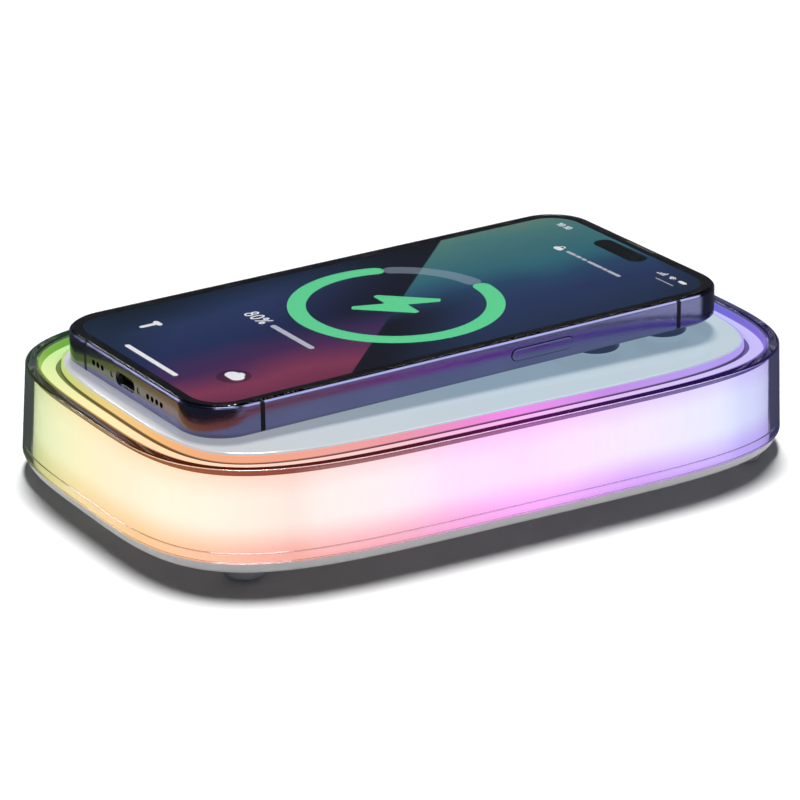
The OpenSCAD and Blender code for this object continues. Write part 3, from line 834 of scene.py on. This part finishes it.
def top_plate(white):
    """Glossy plate with a rounded upper edge and a barely crowned face."""
    low = plate_low[2]
    section = [(14, low), (PLATE_IN, low)]
    section += rounded([
        (PLATE_IN, low, 0), (PLATE_IN, Z_PLATE, 0.7), (PLATE_IN + 6, Z_PLATE, 0),
    ], 8)[1:]
    piece = add_piece(stack_mesh("top_plate", section), white, "charging_plate")
    piece.visible_diffuse = False


def round_foot(index, rubber):
    """Silicone foot with an eased lower edge round a shallow hollow."""
    low, high = box_mm("foot_%d" % index)
    x, y, _ = middle_of((low, high))
    radius = (high[0] - low[0]) / 2
    hollow = radius * 0.62
    rim = radius * 0.68
    profile = [(0, 0.12), (hollow, 0.12), (rim, 0)]
    profile += rounded([(rim, 0, 0), (radius, 0, 0.6), (radius, high[2], 0)], 6)[1:]
    profile.append((0, high[2]))
    mesh = moved(lathe_mesh("foot_pad_%d" % index, profile), (x, y, 0))
    add_piece(mesh, rubber, "foot_%d" % index)


# Radius of the light button, and of the flange behind the panel that keeps it in
BUTTON_R = 3.0
BUTTON_FLANGE = 3.9


def back_panel(white):
    """Rear panel with rounded corners, the socket's slot and the button's hole."""
    socket_x, _, socket_z = middle_of(box_mm("pad_socket"))
    button_x, _, button_z = middle_of((button_low, button_high))
    wide, depth, tall = panel_high - panel_low
    shape = rounded([
        (wide / 2, tall / 2, 0.8), (-wide / 2, tall / 2, 0.8),
        (-wide / 2, -tall / 2, 0.3), (wide / 2, -tall / 2, 0.3),
    ], 5)
    mesh = slab_mesh("back_panel", [shape], -depth / 2, depth / 2)
    moved(mesh, (0, *middle_of((panel_low, panel_high))[1:]), 90, "X")
    inner, outer = panel_low[1] - 4, panel_high[1] + 2
    slot = moved(bar_mesh("slot", 9.1, 3.42, inner, outer), (socket_x, 0, socket_z))
    start = (button_x, inner, button_z)
    hole = rod_mesh(BUTTON_R + 0.08, start, (button_x, outer, button_z))
    recess = rod_mesh(4.1, start, (button_x, button_low[1] + 0.95, button_z))
    add_piece(carved(mesh, [slot, hole, recess]), white, "rear_panel")


def glow_button(white):
    """Light button with a dished face and a flange behind the panel."""
    x, _, z = middle_of((button_low, button_high))
    front, back = button_high[1], button_low[1]
    flange = back + 0.9
    profile = [(0, front - 0.35), (1.2, front - 0.3), (2.2, front - 0.1), (2.6, front)]
    profile += [(2.85, front - 0.08), (BUTTON_R, front - 0.3), (BUTTON_R, flange)]
    profile += [(BUTTON_FLANGE, flange), (BUTTON_FLANGE, back), (0, back)]
    mesh = moved(lathe_mesh("glow_button", profile), (x, 0, z), -90, "X")
    add_piece(mesh, white, "light_button")


# ---------- phone ----------

def phone_piece(mesh, material, node):
    """A piece drawn in the phone's own frame."""
    add_piece(mesh, material, node, PHONE)


# Plastic gaps in the band: the X places on both long sides, and the Y place on the ends
GAP_X = (-58.3, 57.3)
GAP_Y = 19.3
GAP_WIDTH = 1.2
GAP_DEPTH = 1.0
CHAMFER = 0.42
# Y places and radii of the round holes in the socket's end
SOUND_HOLES = (11, 13.1, 15.2, -10.6, -12.7, -14.8, -16.9)
SOUND_R = 0.7
END_SCREWS = (-6.3, 6.3)
SCREW_R = 0.8
# Each key's piece and its length; all are 3 high
KEYS = {
    "side_button": ("side_key", 17.4),
    "volume_up": ("volume_key_up", 10.4),
    "volume_down": ("volume_key_down", 10.4),
}
KEY_HEIGHT = 3
SLOT_DEPTH = 4


def gap_blocks():
    """Boxes over the band where its plastic gaps are."""
    blocks = []
    half, top = GAP_WIDTH / 2, PHONE_T + 1
    for x in GAP_X:
        for side in (-1, 1):
            near, far = sorted(side * (PHONE_W / 2 + reach) for reach in (-GAP_DEPTH, 1))
            blocks.append(block_mesh((x - half, near, -1), (x + half, far, top)))
    for side in (-1, 1):
        near, far = sorted(side * (PHONE_L / 2 + reach) for reach in (-GAP_DEPTH, 1))
        y = -side * GAP_Y
        blocks.append(block_mesh((near, y - half, -1), (far, y + half, top)))
    return blocks


def band_mesh(name):
    """The band before its cuts: flat sides with a narrow chamfer above and below."""
    low, high = band_low[2], band_high[2]
    under, over = REAR_TOP + 0.03, glass_low[2] - 0.03
    glass = GLASS_IN - 0.05
    section = rounded([
        (glass, low, 0), (CHAMFER, low, 0.08), (0, low + 0.45, 0.25), (0, high - 0.45, 0.25),
        (CHAMFER, high, 0.08), (glass, high, 0), (glass, over, 0), (FRAME_WALL, over, 0),
        (FRAME_WALL, under, 0), (glass, under, 0),
    ], 3)
    return ring_mesh(name, section, phone_outline)


def side_slot(node, length, height):
    """The slot in the band for a node that is on one of its long sides."""
    x, y, _ = middle_of(phone_box(node))
    place = (x, math.copysign(PHONE_W / 2, y), CONTROL_Z)
    return moved(bar_mesh("slot", length, height, -SLOT_DEPTH, SLOT_DEPTH), place)


def steel_band(steel):
    """Steel band with its chamfers, slots, sound holes and socket, and the plate inside it."""
    end, margin = PHONE_L / 2, 0.24
    cutters = gap_blocks()
    for node, (_, length) in KEYS.items():
        cutters.append(side_slot(node, length + margin, KEY_HEIGHT + margin))
    cutters += [side_slot("silent_switch", 6.4, 3.2), side_slot("sim_tray", 14.6, 1.9)]
    socket = bar_mesh("slot", 9, 3.3, -SLOT_DEPTH, SLOT_DEPTH)
    cutters.append(moved(socket, (-end, 0, CONTROL_Z), 90))
    for places, radius in ((SOUND_HOLES, SOUND_R), (END_SCREWS, SCREW_R)):
        for y in places:
            cutters.append(rod_mesh(radius, (-end - 1, y, CONTROL_Z), (-end + 3, y, CONTROL_Z)))
    phone_piece(carved(band_mesh("steel_band"), cutters), steel, "phone_frame")
    top = display_low[2] - HAIR
    levels = [(FRAME_WALL, top - MID_THICK), (FRAME_WALL, top)]
    plate = stack_mesh("mid_plate", levels, phone_outline)
    phone_piece(carved(plate, [side_slot("silent_switch", 6.4, 3.2)]), steel, "phone_frame")


def antenna_gaps(plastic):
    """Plastic strips that fill the gaps in the band."""
    strips = [carved(band_mesh("strip"), [block], "INTERSECT") for block in gap_blocks()]
    for index, strip in enumerate(strips):
        strip.name = "antenna_gap_%d" % (index + 1)
        phone_piece(strip, plastic, "antenna_inserts")


def glass_sheets(clear, satin):
    """Cover glass with its softly curved edge, and the rear glass."""
    low, high = glass_low[2], glass_high[2]
    inset = GLASS_IN
    section = [(inset + 8, low), (inset, low)]
    section += rounded([(inset, low, 0), (inset, high, 0.32), (inset + 3, high, 0)], 6)[1:]
    front = stack_mesh("cover_glass", section, phone_outline)
    mesh_low, mesh_high = phone_box("earpiece_mesh")
    margin = (0.05, 0.05, 1)
    slit = block_mesh(mesh_low - margin, mesh_high + margin)
    phone_piece(carved(front, [slit]), clear, "front_glass")
    top = REAR_TOP
    section = rounded([(inset + 3, 0, 0), (inset, 0, 0.32), (inset, top, 0)], 6)
    section += [(inset + 8, top)]
    phone_piece(stack_mesh("rear_glass", section, phone_outline), satin, "back_glass")


def camera_corner(satin, rim, cover):
    """Raised corner of the rear glass, with lathed rings and dished covers over the lenses."""
    low, high = phone_box("camera_plateau")
    half_x, half_y, _ = (high - low) / 2
    x, y, _ = middle_of((low, high))
    shape = rounded([
        (x + sx * half_x, y + sy * half_y, 7) for sx, sy in ((1, 1), (-1, 1), (-1, -1), (1, -1))
    ], 12)
    hill = slab_mesh("camera_hill", [shape], low[2], high[2])
    boxes = {number: phone_box("lens_ring_%d" % number) for number in (1, 2, 3)}
    cutters = []
    for box in (*boxes.values(), phone_box("flash_window")):
        x, y, _ = middle_of(box)
        radius = (box[1][0] - box[0][0]) / 2 + 0.06
        cutters.append(rod_mesh(radius, (x, y, low[2] - 2), (x, y, 2)))
    phone_piece(carved(hill, cutters), satin, "camera_plateau")
    for number, box in boxes.items():
        x, y, _ = middle_of(box)
        radius, deep = (box[1][0] - box[0][0]) / 2, box[0][2]
        inner, face = radius - 1, deep + 0.25
        profile = rounded([
            (inner, -0.01, 0), (radius, -0.01, 0), (radius, deep, 0.35), (inner, deep, 0.3),
        ], 5)
        ring = moved(lathe_mesh("lens_rim_%d" % number, profile), (x, y, 0))
        phone_piece(ring, rim, "lens_ring_%d" % number)
        reach = inner - 0.03
        profile = [(0, -HAIR), (reach, -HAIR), (reach, face + 0.1), (reach * 0.7, face + HAIR)]
        profile += [(reach * 0.35, face), (0, face)]
        dome = moved(lathe_mesh("lens_cover_%d" % number, profile), (x, y, 0))
        phone_piece(dome, cover, "lens_glass_%d" % number)


def key_pieces(steel):
    """Side and volume keys with eased edges, standing just proud of the band."""
    proud = 0.3
    for node, (name, length) in KEYS.items():
        x, y, _ = middle_of(phone_box(node))
        mesh = bar_mesh(name, length, KEY_HEIGHT, proud - FRAME_WALL, proud, proud)
        place = (x, math.copysign(PHONE_W / 2, y), CONTROL_Z)
        phone_piece(moved(mesh, place, 0 if y > 0 else 180), steel, node)


# ---------- screen ----------

BORDER = 3.4
PICTURE_TOP = display_high[2]
MARK_LOW = PICTURE_TOP + 0.005
MARK_HIGH = PICTURE_TOP + 0.025
MARK_LIFT = 0.01


def mark(name, shapes, material):
    """Flat shapes that shine just over the picture."""
    mesh = slab_mesh(name, shapes, MARK_LOW + MARK_LIFT, MARK_HIGH + MARK_LIFT)
    phone_piece(mesh, material, "display_panel")


def stroke(points, origin, scale, width):
    """Bars along a line of points drawn upright on a small grid. On the screen, up is +X and
    the line of writing runs along -Y."""
    placed = [(origin[0] + y * scale, origin[1] - x * scale) for x, y in points]
    return [bar_shape(start, end, width, 4) for start, end in zip(placed, placed[1:])]


def oval(cx, cy, rx, ry, steps=14):
    """A closed oval as a line of points."""
    turns = on_circle((0, 0), 1, np.linspace(0, 2 * math.pi, steps + 1))
    return [(cx + rx * x, cy + ry * y) for x, y in turns]


# Numerals on a grid 2 wide and 4 high, each a list of lines
GLYPHS = {
    "8": [oval(1, 3.05, 0.8, 0.95), oval(1, 1.05, 1, 1.05)],
    "0": [oval(1, 2, 1, 2)],
    "%": [oval(0.5, 3.3, 0.5, 0.7), oval(2.5, 0.7, 0.5, 0.7), [(0.3, 0), (2.7, 4)]],
    "1": [[(0.4, 3.2), (1.2, 4), (1.2, 0)]],
    ":": [[(0.4, 1.0), (0.4, 1.05)], [(0.4, 2.6), (0.4, 2.65)]],
}


def numerals(text, origin, height, width):
    """A row of numerals from origin, so many millimetres high."""
    scale = height / 4
    shapes, pen = [], 0.0
    for glyph in text:
        for line in GLYPHS[glyph]:
            shifted = [(x + pen, y) for x, y in line]
            shapes += stroke(shifted, origin, scale, width)
        pen += {":": 1.4, "%": 4.2, "1": 2.6}.get(glyph, 3.1)
    return shapes


# The charging ring's middle radius and width, half of the bolt's corners, and where each bar
# under the lock starts and ends
RING_R = 23.85
RING_WIDTH = 4.5
HINT_BARS = ((7.5, 4.6), (3.4, 2.4), (1.0, 0.2), (-1.4, -6.4), (-7.6, -8.4), (-9.6, -13.9))
BOLT_HALF = ((-10.8, 3.0), (-9.6, 4.5), (-2.0, 1.7), (-1.8, 7.4), (-0.6, 7.8))


def across(x, start, end, width):
    """A bar along Y at x."""
    return bar_shape((x, start), (x, end), width)


def screen(wall, wall_light, wall_dark, black, green, white, white_dim):
    """Lit screen: the picture, its black border, the charging ring and small plain marks."""
    inset = FRAME_WALL + 0.8
    levels = [(inset, PICTURE_TOP - 1), (inset, PICTURE_TOP)]
    phone_piece(stack_mesh("picture", levels, phone_outline), wall, "display_panel")
    edge = GLASS_IN + 0.1
    section = [(edge, MARK_LOW), (edge, MARK_HIGH), (BORDER, MARK_HIGH), (BORDER, MARK_LOW)]
    phone_piece(ring_mesh("screen_border", section, phone_outline), black, "display_panel")

    mark("charge_ring", [arc_shape((0, 0), RING_R, RING_WIDTH, -290, -3)], green)
    mark("charge_ring_rest", [arc_shape((0, 0), RING_R, RING_WIDTH, 7, 60, 20)], wall_light)
    bolt = [(side * x, side * y, 0.45) for side in (1, -1) for x, y in BOLT_HALF]
    mark("bolt", [rounded(bolt, 3)], green)
    mark("charge_numerals", numerals("80%", (-33.7, 14.4), 3.4, 0.5), white)
    mark("charge_bar", [across(-32, 3.5, -13.5, 1.5)], white_dim)
    mark("home_bar", [across(-66.6, 11.6, -10.9, 1.3)], white)
    torch = [bar_shape((-57.8, 20.5), (-54.4, 20.5), 1.3), across(-53.6, 19.6, 21.4, 1.4)]
    mark("torch_mark", torch, white)
    camera = [across(-55.8, -17.9, -20.3, 3.4), across(-54.0, -18.7, -19.5, 1.4)]
    mark("camera_mark", camera, white)
    disc = [bar_shape((-56, -19.05), (-56, -19.15), 8, 24)]
    disc = slab_mesh("camera_disc", disc, MARK_LOW - 0.002, MARK_LOW + 0.008)
    phone_piece(disc, wall_dark, "display_panel")

    mark("clock", numerals("10:10", (65.0, 26.4), 1.7, 0.34), white)
    lock = [across(54.9, 11.6, 10.2, 1.7), arc_shape((56.0, 10.9), 0.75, 0.3, -90, 90, 10)]
    mark("lock_mark", lock, white)
    mark("hint_bars", [across(55.4, start, end, 1.0) for start, end in HINT_BARS], white_dim)
    status = [across(65.3, -25.6, -27.2, 1.2)]
    for k in range(4):
        y = -17.2 - 0.75 * k
        status.append(bar_shape((64.6, y), (64.9 + 0.4 * k, y), 0.4))
    for k in range(3):
        status.append(arc_shape((64.5, -22.4), 0.55 * k + 0.3, 0.36, -45, 45, 10))
    mark("status_marks", status, white)
    mark("status_line", [across(62.1, -20.0, -26.8, 0.3)], white_dim)


PILL_WIDTH = 5.3


def camera_pill(black, lens):
    """Black pill over the front camera, with its lens showing."""
    low, high = phone_box("front_camera")
    x, y, _ = middle_of((low, high))
    half = (high[1] - low[1]) / 2 - PILL_WIDTH / 2 + 0.05
    shape = bar_shape((x, y + half), (x, y - half), PILL_WIDTH, 16)
    phone_piece(slab_mesh("camera_pill", [shape], low[2], MARK_HIGH + 0.005), black, "front_camera")
    dot = lathe_mesh("camera_dot", [(0, 0), (1.5, 0), (1.4, 0.012), (0, 0.014)], 40)
    phone_piece(moved(dot, (x, y - half, MARK_HIGH + 0.007)), lens, "front_camera")


# ---------- scene ----------

def build_pad():
    tray_white = plain("base_white", [0.72, 0.715, 0.71], 0.38, vary=0.03)
    # The tray's faint even glow is painted light: it lifts the white tray and rear panel out of the shade that the
    # key light behind the pad leaves on them.
    tray_white.set(Emission_Color=[0.9, 0.88, 0.9, 1], Emission_Strength=0.2)
    white = tray_white.material
    base_shell(white, glow("milky_foot", 0.0, 0.0, 1.15))
    back_panel(white)
    clear_wall(clear_acrylic())
    glow_wall(
        glow("milky_side", 0.0, 1.0, 1.2),
        glow("milky_ledge", 0.35, 0.5, 0.9, 1.1),
        glow("milky_lip", 0.0, 0.1, 0.7, 2.2),
        glow("milky_rim", 0.0, 0.0, 0.3, 2.2),
    )
    # The seal's faint glow in the light's deep colours is painted light from the lit ledge and ring beside it; the
    # seal itself is dark rubber.
    groove_seal(glow("dark_seal", 0.0, 0.0, 0.3, 2.4))
    glow_ring(glow("milky_ring", 0.0, 0.15, 0.9, 1.35, dark_below=Z_RIM - 1.55))
    plate = plain("plate_white", [0.32, 0.33, 0.32], 0.16, vary=0.02, relief=0.002)
    plate.set(Coat_Weight=0.6, Coat_Roughness=0.06)
    # The plate's glow is painted fill light: it lifts the phone's shadow on the plate, tinted from pale grey at
    # the -X end to blue towards the middle.
    along = plate.span(plate.axis("X"), -HALF_L * MM, 0)
    fill_light_tint = plate.mix(along, [0.74, 0.72, 0.78, 1], [0.50, 0.70, 0.88, 1])
    plate.set(Emission_Color=fill_light_tint, Emission_Strength=0.5)
    top_plate(plate.material)
    rubber = plain("foot_rubber", [0.62, 0.63, 0.64], 0.6, relief=0.03).material
    for index in FEET:
        round_foot(index, rubber)
    glow_button(plain("button_white", [0.62, 0.62, 0.61], 0.28, vary=0.02).material)


def build_phone():
    steel = polished_steel("frame_steel", [0.165, 0.17, 0.32])
    steel_band(steel)
    key_pieces(steel)
    gap_plastic = plain("antenna_plastic", [0.008, 0.008, 0.016], 0.35)
    gap_plastic.set(Specular_IOR_Level=0.15)
    antenna_gaps(gap_plastic.material)
    satin = plain("rear_glass", [0.035, 0.037, 0.08], 0.3, vary=0.04, relief=0.004)
    satin.set(Coat_Weight=0.5, Coat_Roughness=0.25)
    glass_sheets(cover_glass(), satin.material)
    rim = polished_steel("lens_rim", [0.12, 0.125, 0.22], 0.1)
    lens = plain("lens_cover", [0.01, 0.01, 0.015], 0.05, relief=0.0005)
    lens.set(Coat_Weight=1.0, Coat_Roughness=0.02)
    camera_corner(satin.material, rim, lens.material)
    border = plain("border_black", [0.006, 0.006, 0.008], 0.4)
    border.set(Specular_IOR_Level=0.05)
    black = border.material
    screen(
        wallpaper("wallpaper"),
        wallpaper("wallpaper_light", 0.24, (200, 220, 240)),
        wallpaper("wallpaper_dark", 0.5, (20, 12, 30)),
        black,
        lit("mark_green", linear(104, 226, 160), 1.12),
        lit("mark_white", linear(244, 244, 250), 1.2),
        lit("mark_white_dim", linear(196, 198, 214), 1.1),
    )
    camera_pill(black, lens.material)
    for node in ("phone_screws", "sim_tray", "silent_switch"):
        finish_node(node, rim)


def build_inside():
    """Materials for the CAD nodes that stay as they are."""
    metal = plain("socket_metal", [0.55, 0.55, 0.56], 0.28, 1.0, 3.0).material
    component = plain("component_black", [0.02, 0.02, 0.022], 0.5, relief=0.02).material
    copper = plain("copper_wire", [0.62, 0.27, 0.12], 0.3, 1.0, 6.0, 0.2).material
    magnet = plain("magnet_nickel", [0.5, 0.5, 0.52], 0.25, 1.0).material
    cream = plain("emitter_cream", [0.8, 0.72, 0.4], 0.4).material
    inner = plain("inner_white", [0.7, 0.7, 0.68], 0.6).material
    finishes = {
        "base_screws": plain("screw_steel", [0.12, 0.12, 0.125], 0.35, 1.0).material,
        "coil_carrier": inner,
        "ferrite_disc": plain("ferrite", [0.03, 0.028, 0.028], 0.75, relief=0.04).material,
        "transmit_coil": copper,
        "receive_coil": copper,
        "pad_magnets": magnet,
        "phone_magnets": magnet,
        "led_board": circuit("board_white", [0.72, 0.72, 0.68], [0.62, 0.62, 0.57]),
        "light_emitters": cream,
        "main_board": circuit("board_green", [0.01, 0.1, 0.04], [0.02, 0.16, 0.07]),
        "board_parts": component,
        "pad_socket": metal,
        "pad_socket_tongue": plain("socket_black", [0.008, 0.008, 0.008], 0.5).material,
        "light_switch": component,
        "earpiece_mesh": plain("mesh_black", [0.01, 0.01, 0.012], 0.7, relief=0.1).material,
        "screen_gasket": plain("gasket_foam", [0.012, 0.012, 0.012], 0.85, relief=0.05).material,
        "flash_window": cream,
        "camera_module": component,
        "battery": plain("battery_wrap", [0.02, 0.02, 0.023], 0.45, relief=0.02).material,
        "logic_board": circuit("board_blue", [0.01, 0.04, 0.1], [0.02, 0.07, 0.15]),
        "loudspeaker": component,
        "vibration_motor": plain("motor_steel", [0.45, 0.45, 0.47], 0.3, 1.0).material,
        "phone_socket": metal,
        "phone_socket_tongue": component,
    }
    for node, material in finishes.items():
        finish_node(node, material)


# Where the camera looks, and from where
CAMERA_TARGET = (-0.6, 1.6, 13.35)
CAMERA_AZIMUTH = -32.35
CAMERA_ELEVATION = 21.01
CAMERA_ROLL = 0.755
CAMERA_DISTANCE = 871.8
CAMERA_LENS = 163.1


def toward(azimuth, elevation):
    """The direction to something at an azimuth and elevation, given like the camera's."""
    a, e = math.radians(azimuth), math.radians(elevation)
    return Vector((math.sin(a) * math.cos(e), -math.cos(a) * math.cos(e), math.sin(e)))


def aimed(name, data, azimuth, elevation, distance, target=(0, 0, 0), roll=0.0):
    """An object so many millimetres from its target in a direction, which looks at it."""
    made = bpy.data.objects.new(name, data)
    bpy.context.scene.collection.objects.link(made)
    back = toward(azimuth, elevation)
    made.location = (Vector(target) + back * distance) * MM
    made.rotation_mode = "QUATERNION"
    turn = Quaternion((0, 0, 1), math.radians(roll))
    made.rotation_quaternion = (-back).to_track_quat("-Z", "Y") @ turn
    return made


def add_camera():
    data = bpy.data.cameras.new("camera")
    data.lens = CAMERA_LENS
    data.sensor_width = 36
    data.clip_start = 0.01
    bpy.context.scene.camera = aimed(
        "camera", data, CAMERA_AZIMUTH, CAMERA_ELEVATION, CAMERA_DISTANCE,
        CAMERA_TARGET, CAMERA_ROLL,
    )


def add_sun():
    """The key light, high behind the pad, with soft shadows."""
    data = bpy.data.lights.new("key", "SUN")
    data.energy = 4.1
    data.angle = math.radians(15)
    aimed("key", data, 149, 68, 1000)


def add_sheen(name, energy, azimuth, elevation, size):
    """A soft box that only glossy surfaces show."""
    data = bpy.data.lights.new(name, "AREA")
    data.energy = energy
    data.size = size
    light = aimed(name, data, azimuth, elevation, 1200)
    light.visible_diffuse = False


# The studio: brightness by the height of a direction, from straight down to straight up
STUDIO = (
    (0.0, 0.03), (0.3, 0.05), (0.44, 0.13), (0.5, 0.2), (0.56, 0.12), (0.65, 0.03), (1.0, 0.022),
)
# A bright board low in front, which the phone's long side mirrors
BOARD_AZIMUTH = 32
BOARD_ELEVATION = -21
BOARD_LIGHT = 1.1


def add_world():
    """A dim, faintly blue studio with a soft grey band near the horizon and a bright board."""
    world = bpy.data.worlds.new("studio")
    bpy.context.scene.world = world
    world.use_nodes = True
    nodes = Nodes(world.node_tree)
    way = nodes.add("TexCoord").outputs["Generated"]
    up = nodes.add("SeparateXYZ", {0: way}).outputs["Z"]
    height = nodes.math("MULTIPLY_ADD", up, 0.5, 0.5)
    studio = nodes.ramp(height, [(place, (g * 0.92, g, g * 1.2, 1)) for place, g in STUDIO])
    aim = {0: way, 1: toward(BOARD_AZIMUTH, BOARD_ELEVATION)}
    near_board = nodes.add("VectorMath", aim, operation="DOT_PRODUCT").outputs["Value"]
    board = nodes.span(near_board, 0.86, 0.97, 0, BOARD_LIGHT, "SMOOTHSTEP")
    total = nodes.add("VectorMath", {0: studio, 1: board}, operation="ADD")
    nodes.put(world.node_tree.nodes["Background"].inputs["Color"], total.outputs["Vector"])


def add_floor():
    shader = plain("floor_white", [0.9, 0.9, 0.9], 0.6, grain=0.05, vary=0.01, relief=0.0)
    mesh = bpy.data.meshes.new("floor")
    half = 12.0
    mesh.from_pydata([(-half, -half, 0), (half, -half, 0), (half, half, 0), (-half, half, 0)],
                     [], [(0, 1, 2, 3)])
    mesh.materials.append(shader.material)
    floor = bpy.data.objects.new("floor", mesh)
    bpy.context.scene.collection.objects.link(floor)
    # Metal and clear plastic show the studio instead of the white floor, which keeps them dark
    floor.visible_glossy = False
    floor.visible_transmission = False


add_camera()
build_pad()
build_phone()
build_inside()
add_world()
add_floor()
add_sun()
add_sheen("overhead", 3.0, -20, 80, 0.8)
add_sheen("side_edge", 2.2, 54, 52, 0.5)
add_sheen("end_edge", 1.6, -154, 30, 0.2)

scene = bpy.context.scene
scene.view_settings.view_transform = "Standard"
scene.view_settings.look = "None"
scene.cycles.use_denoising = True
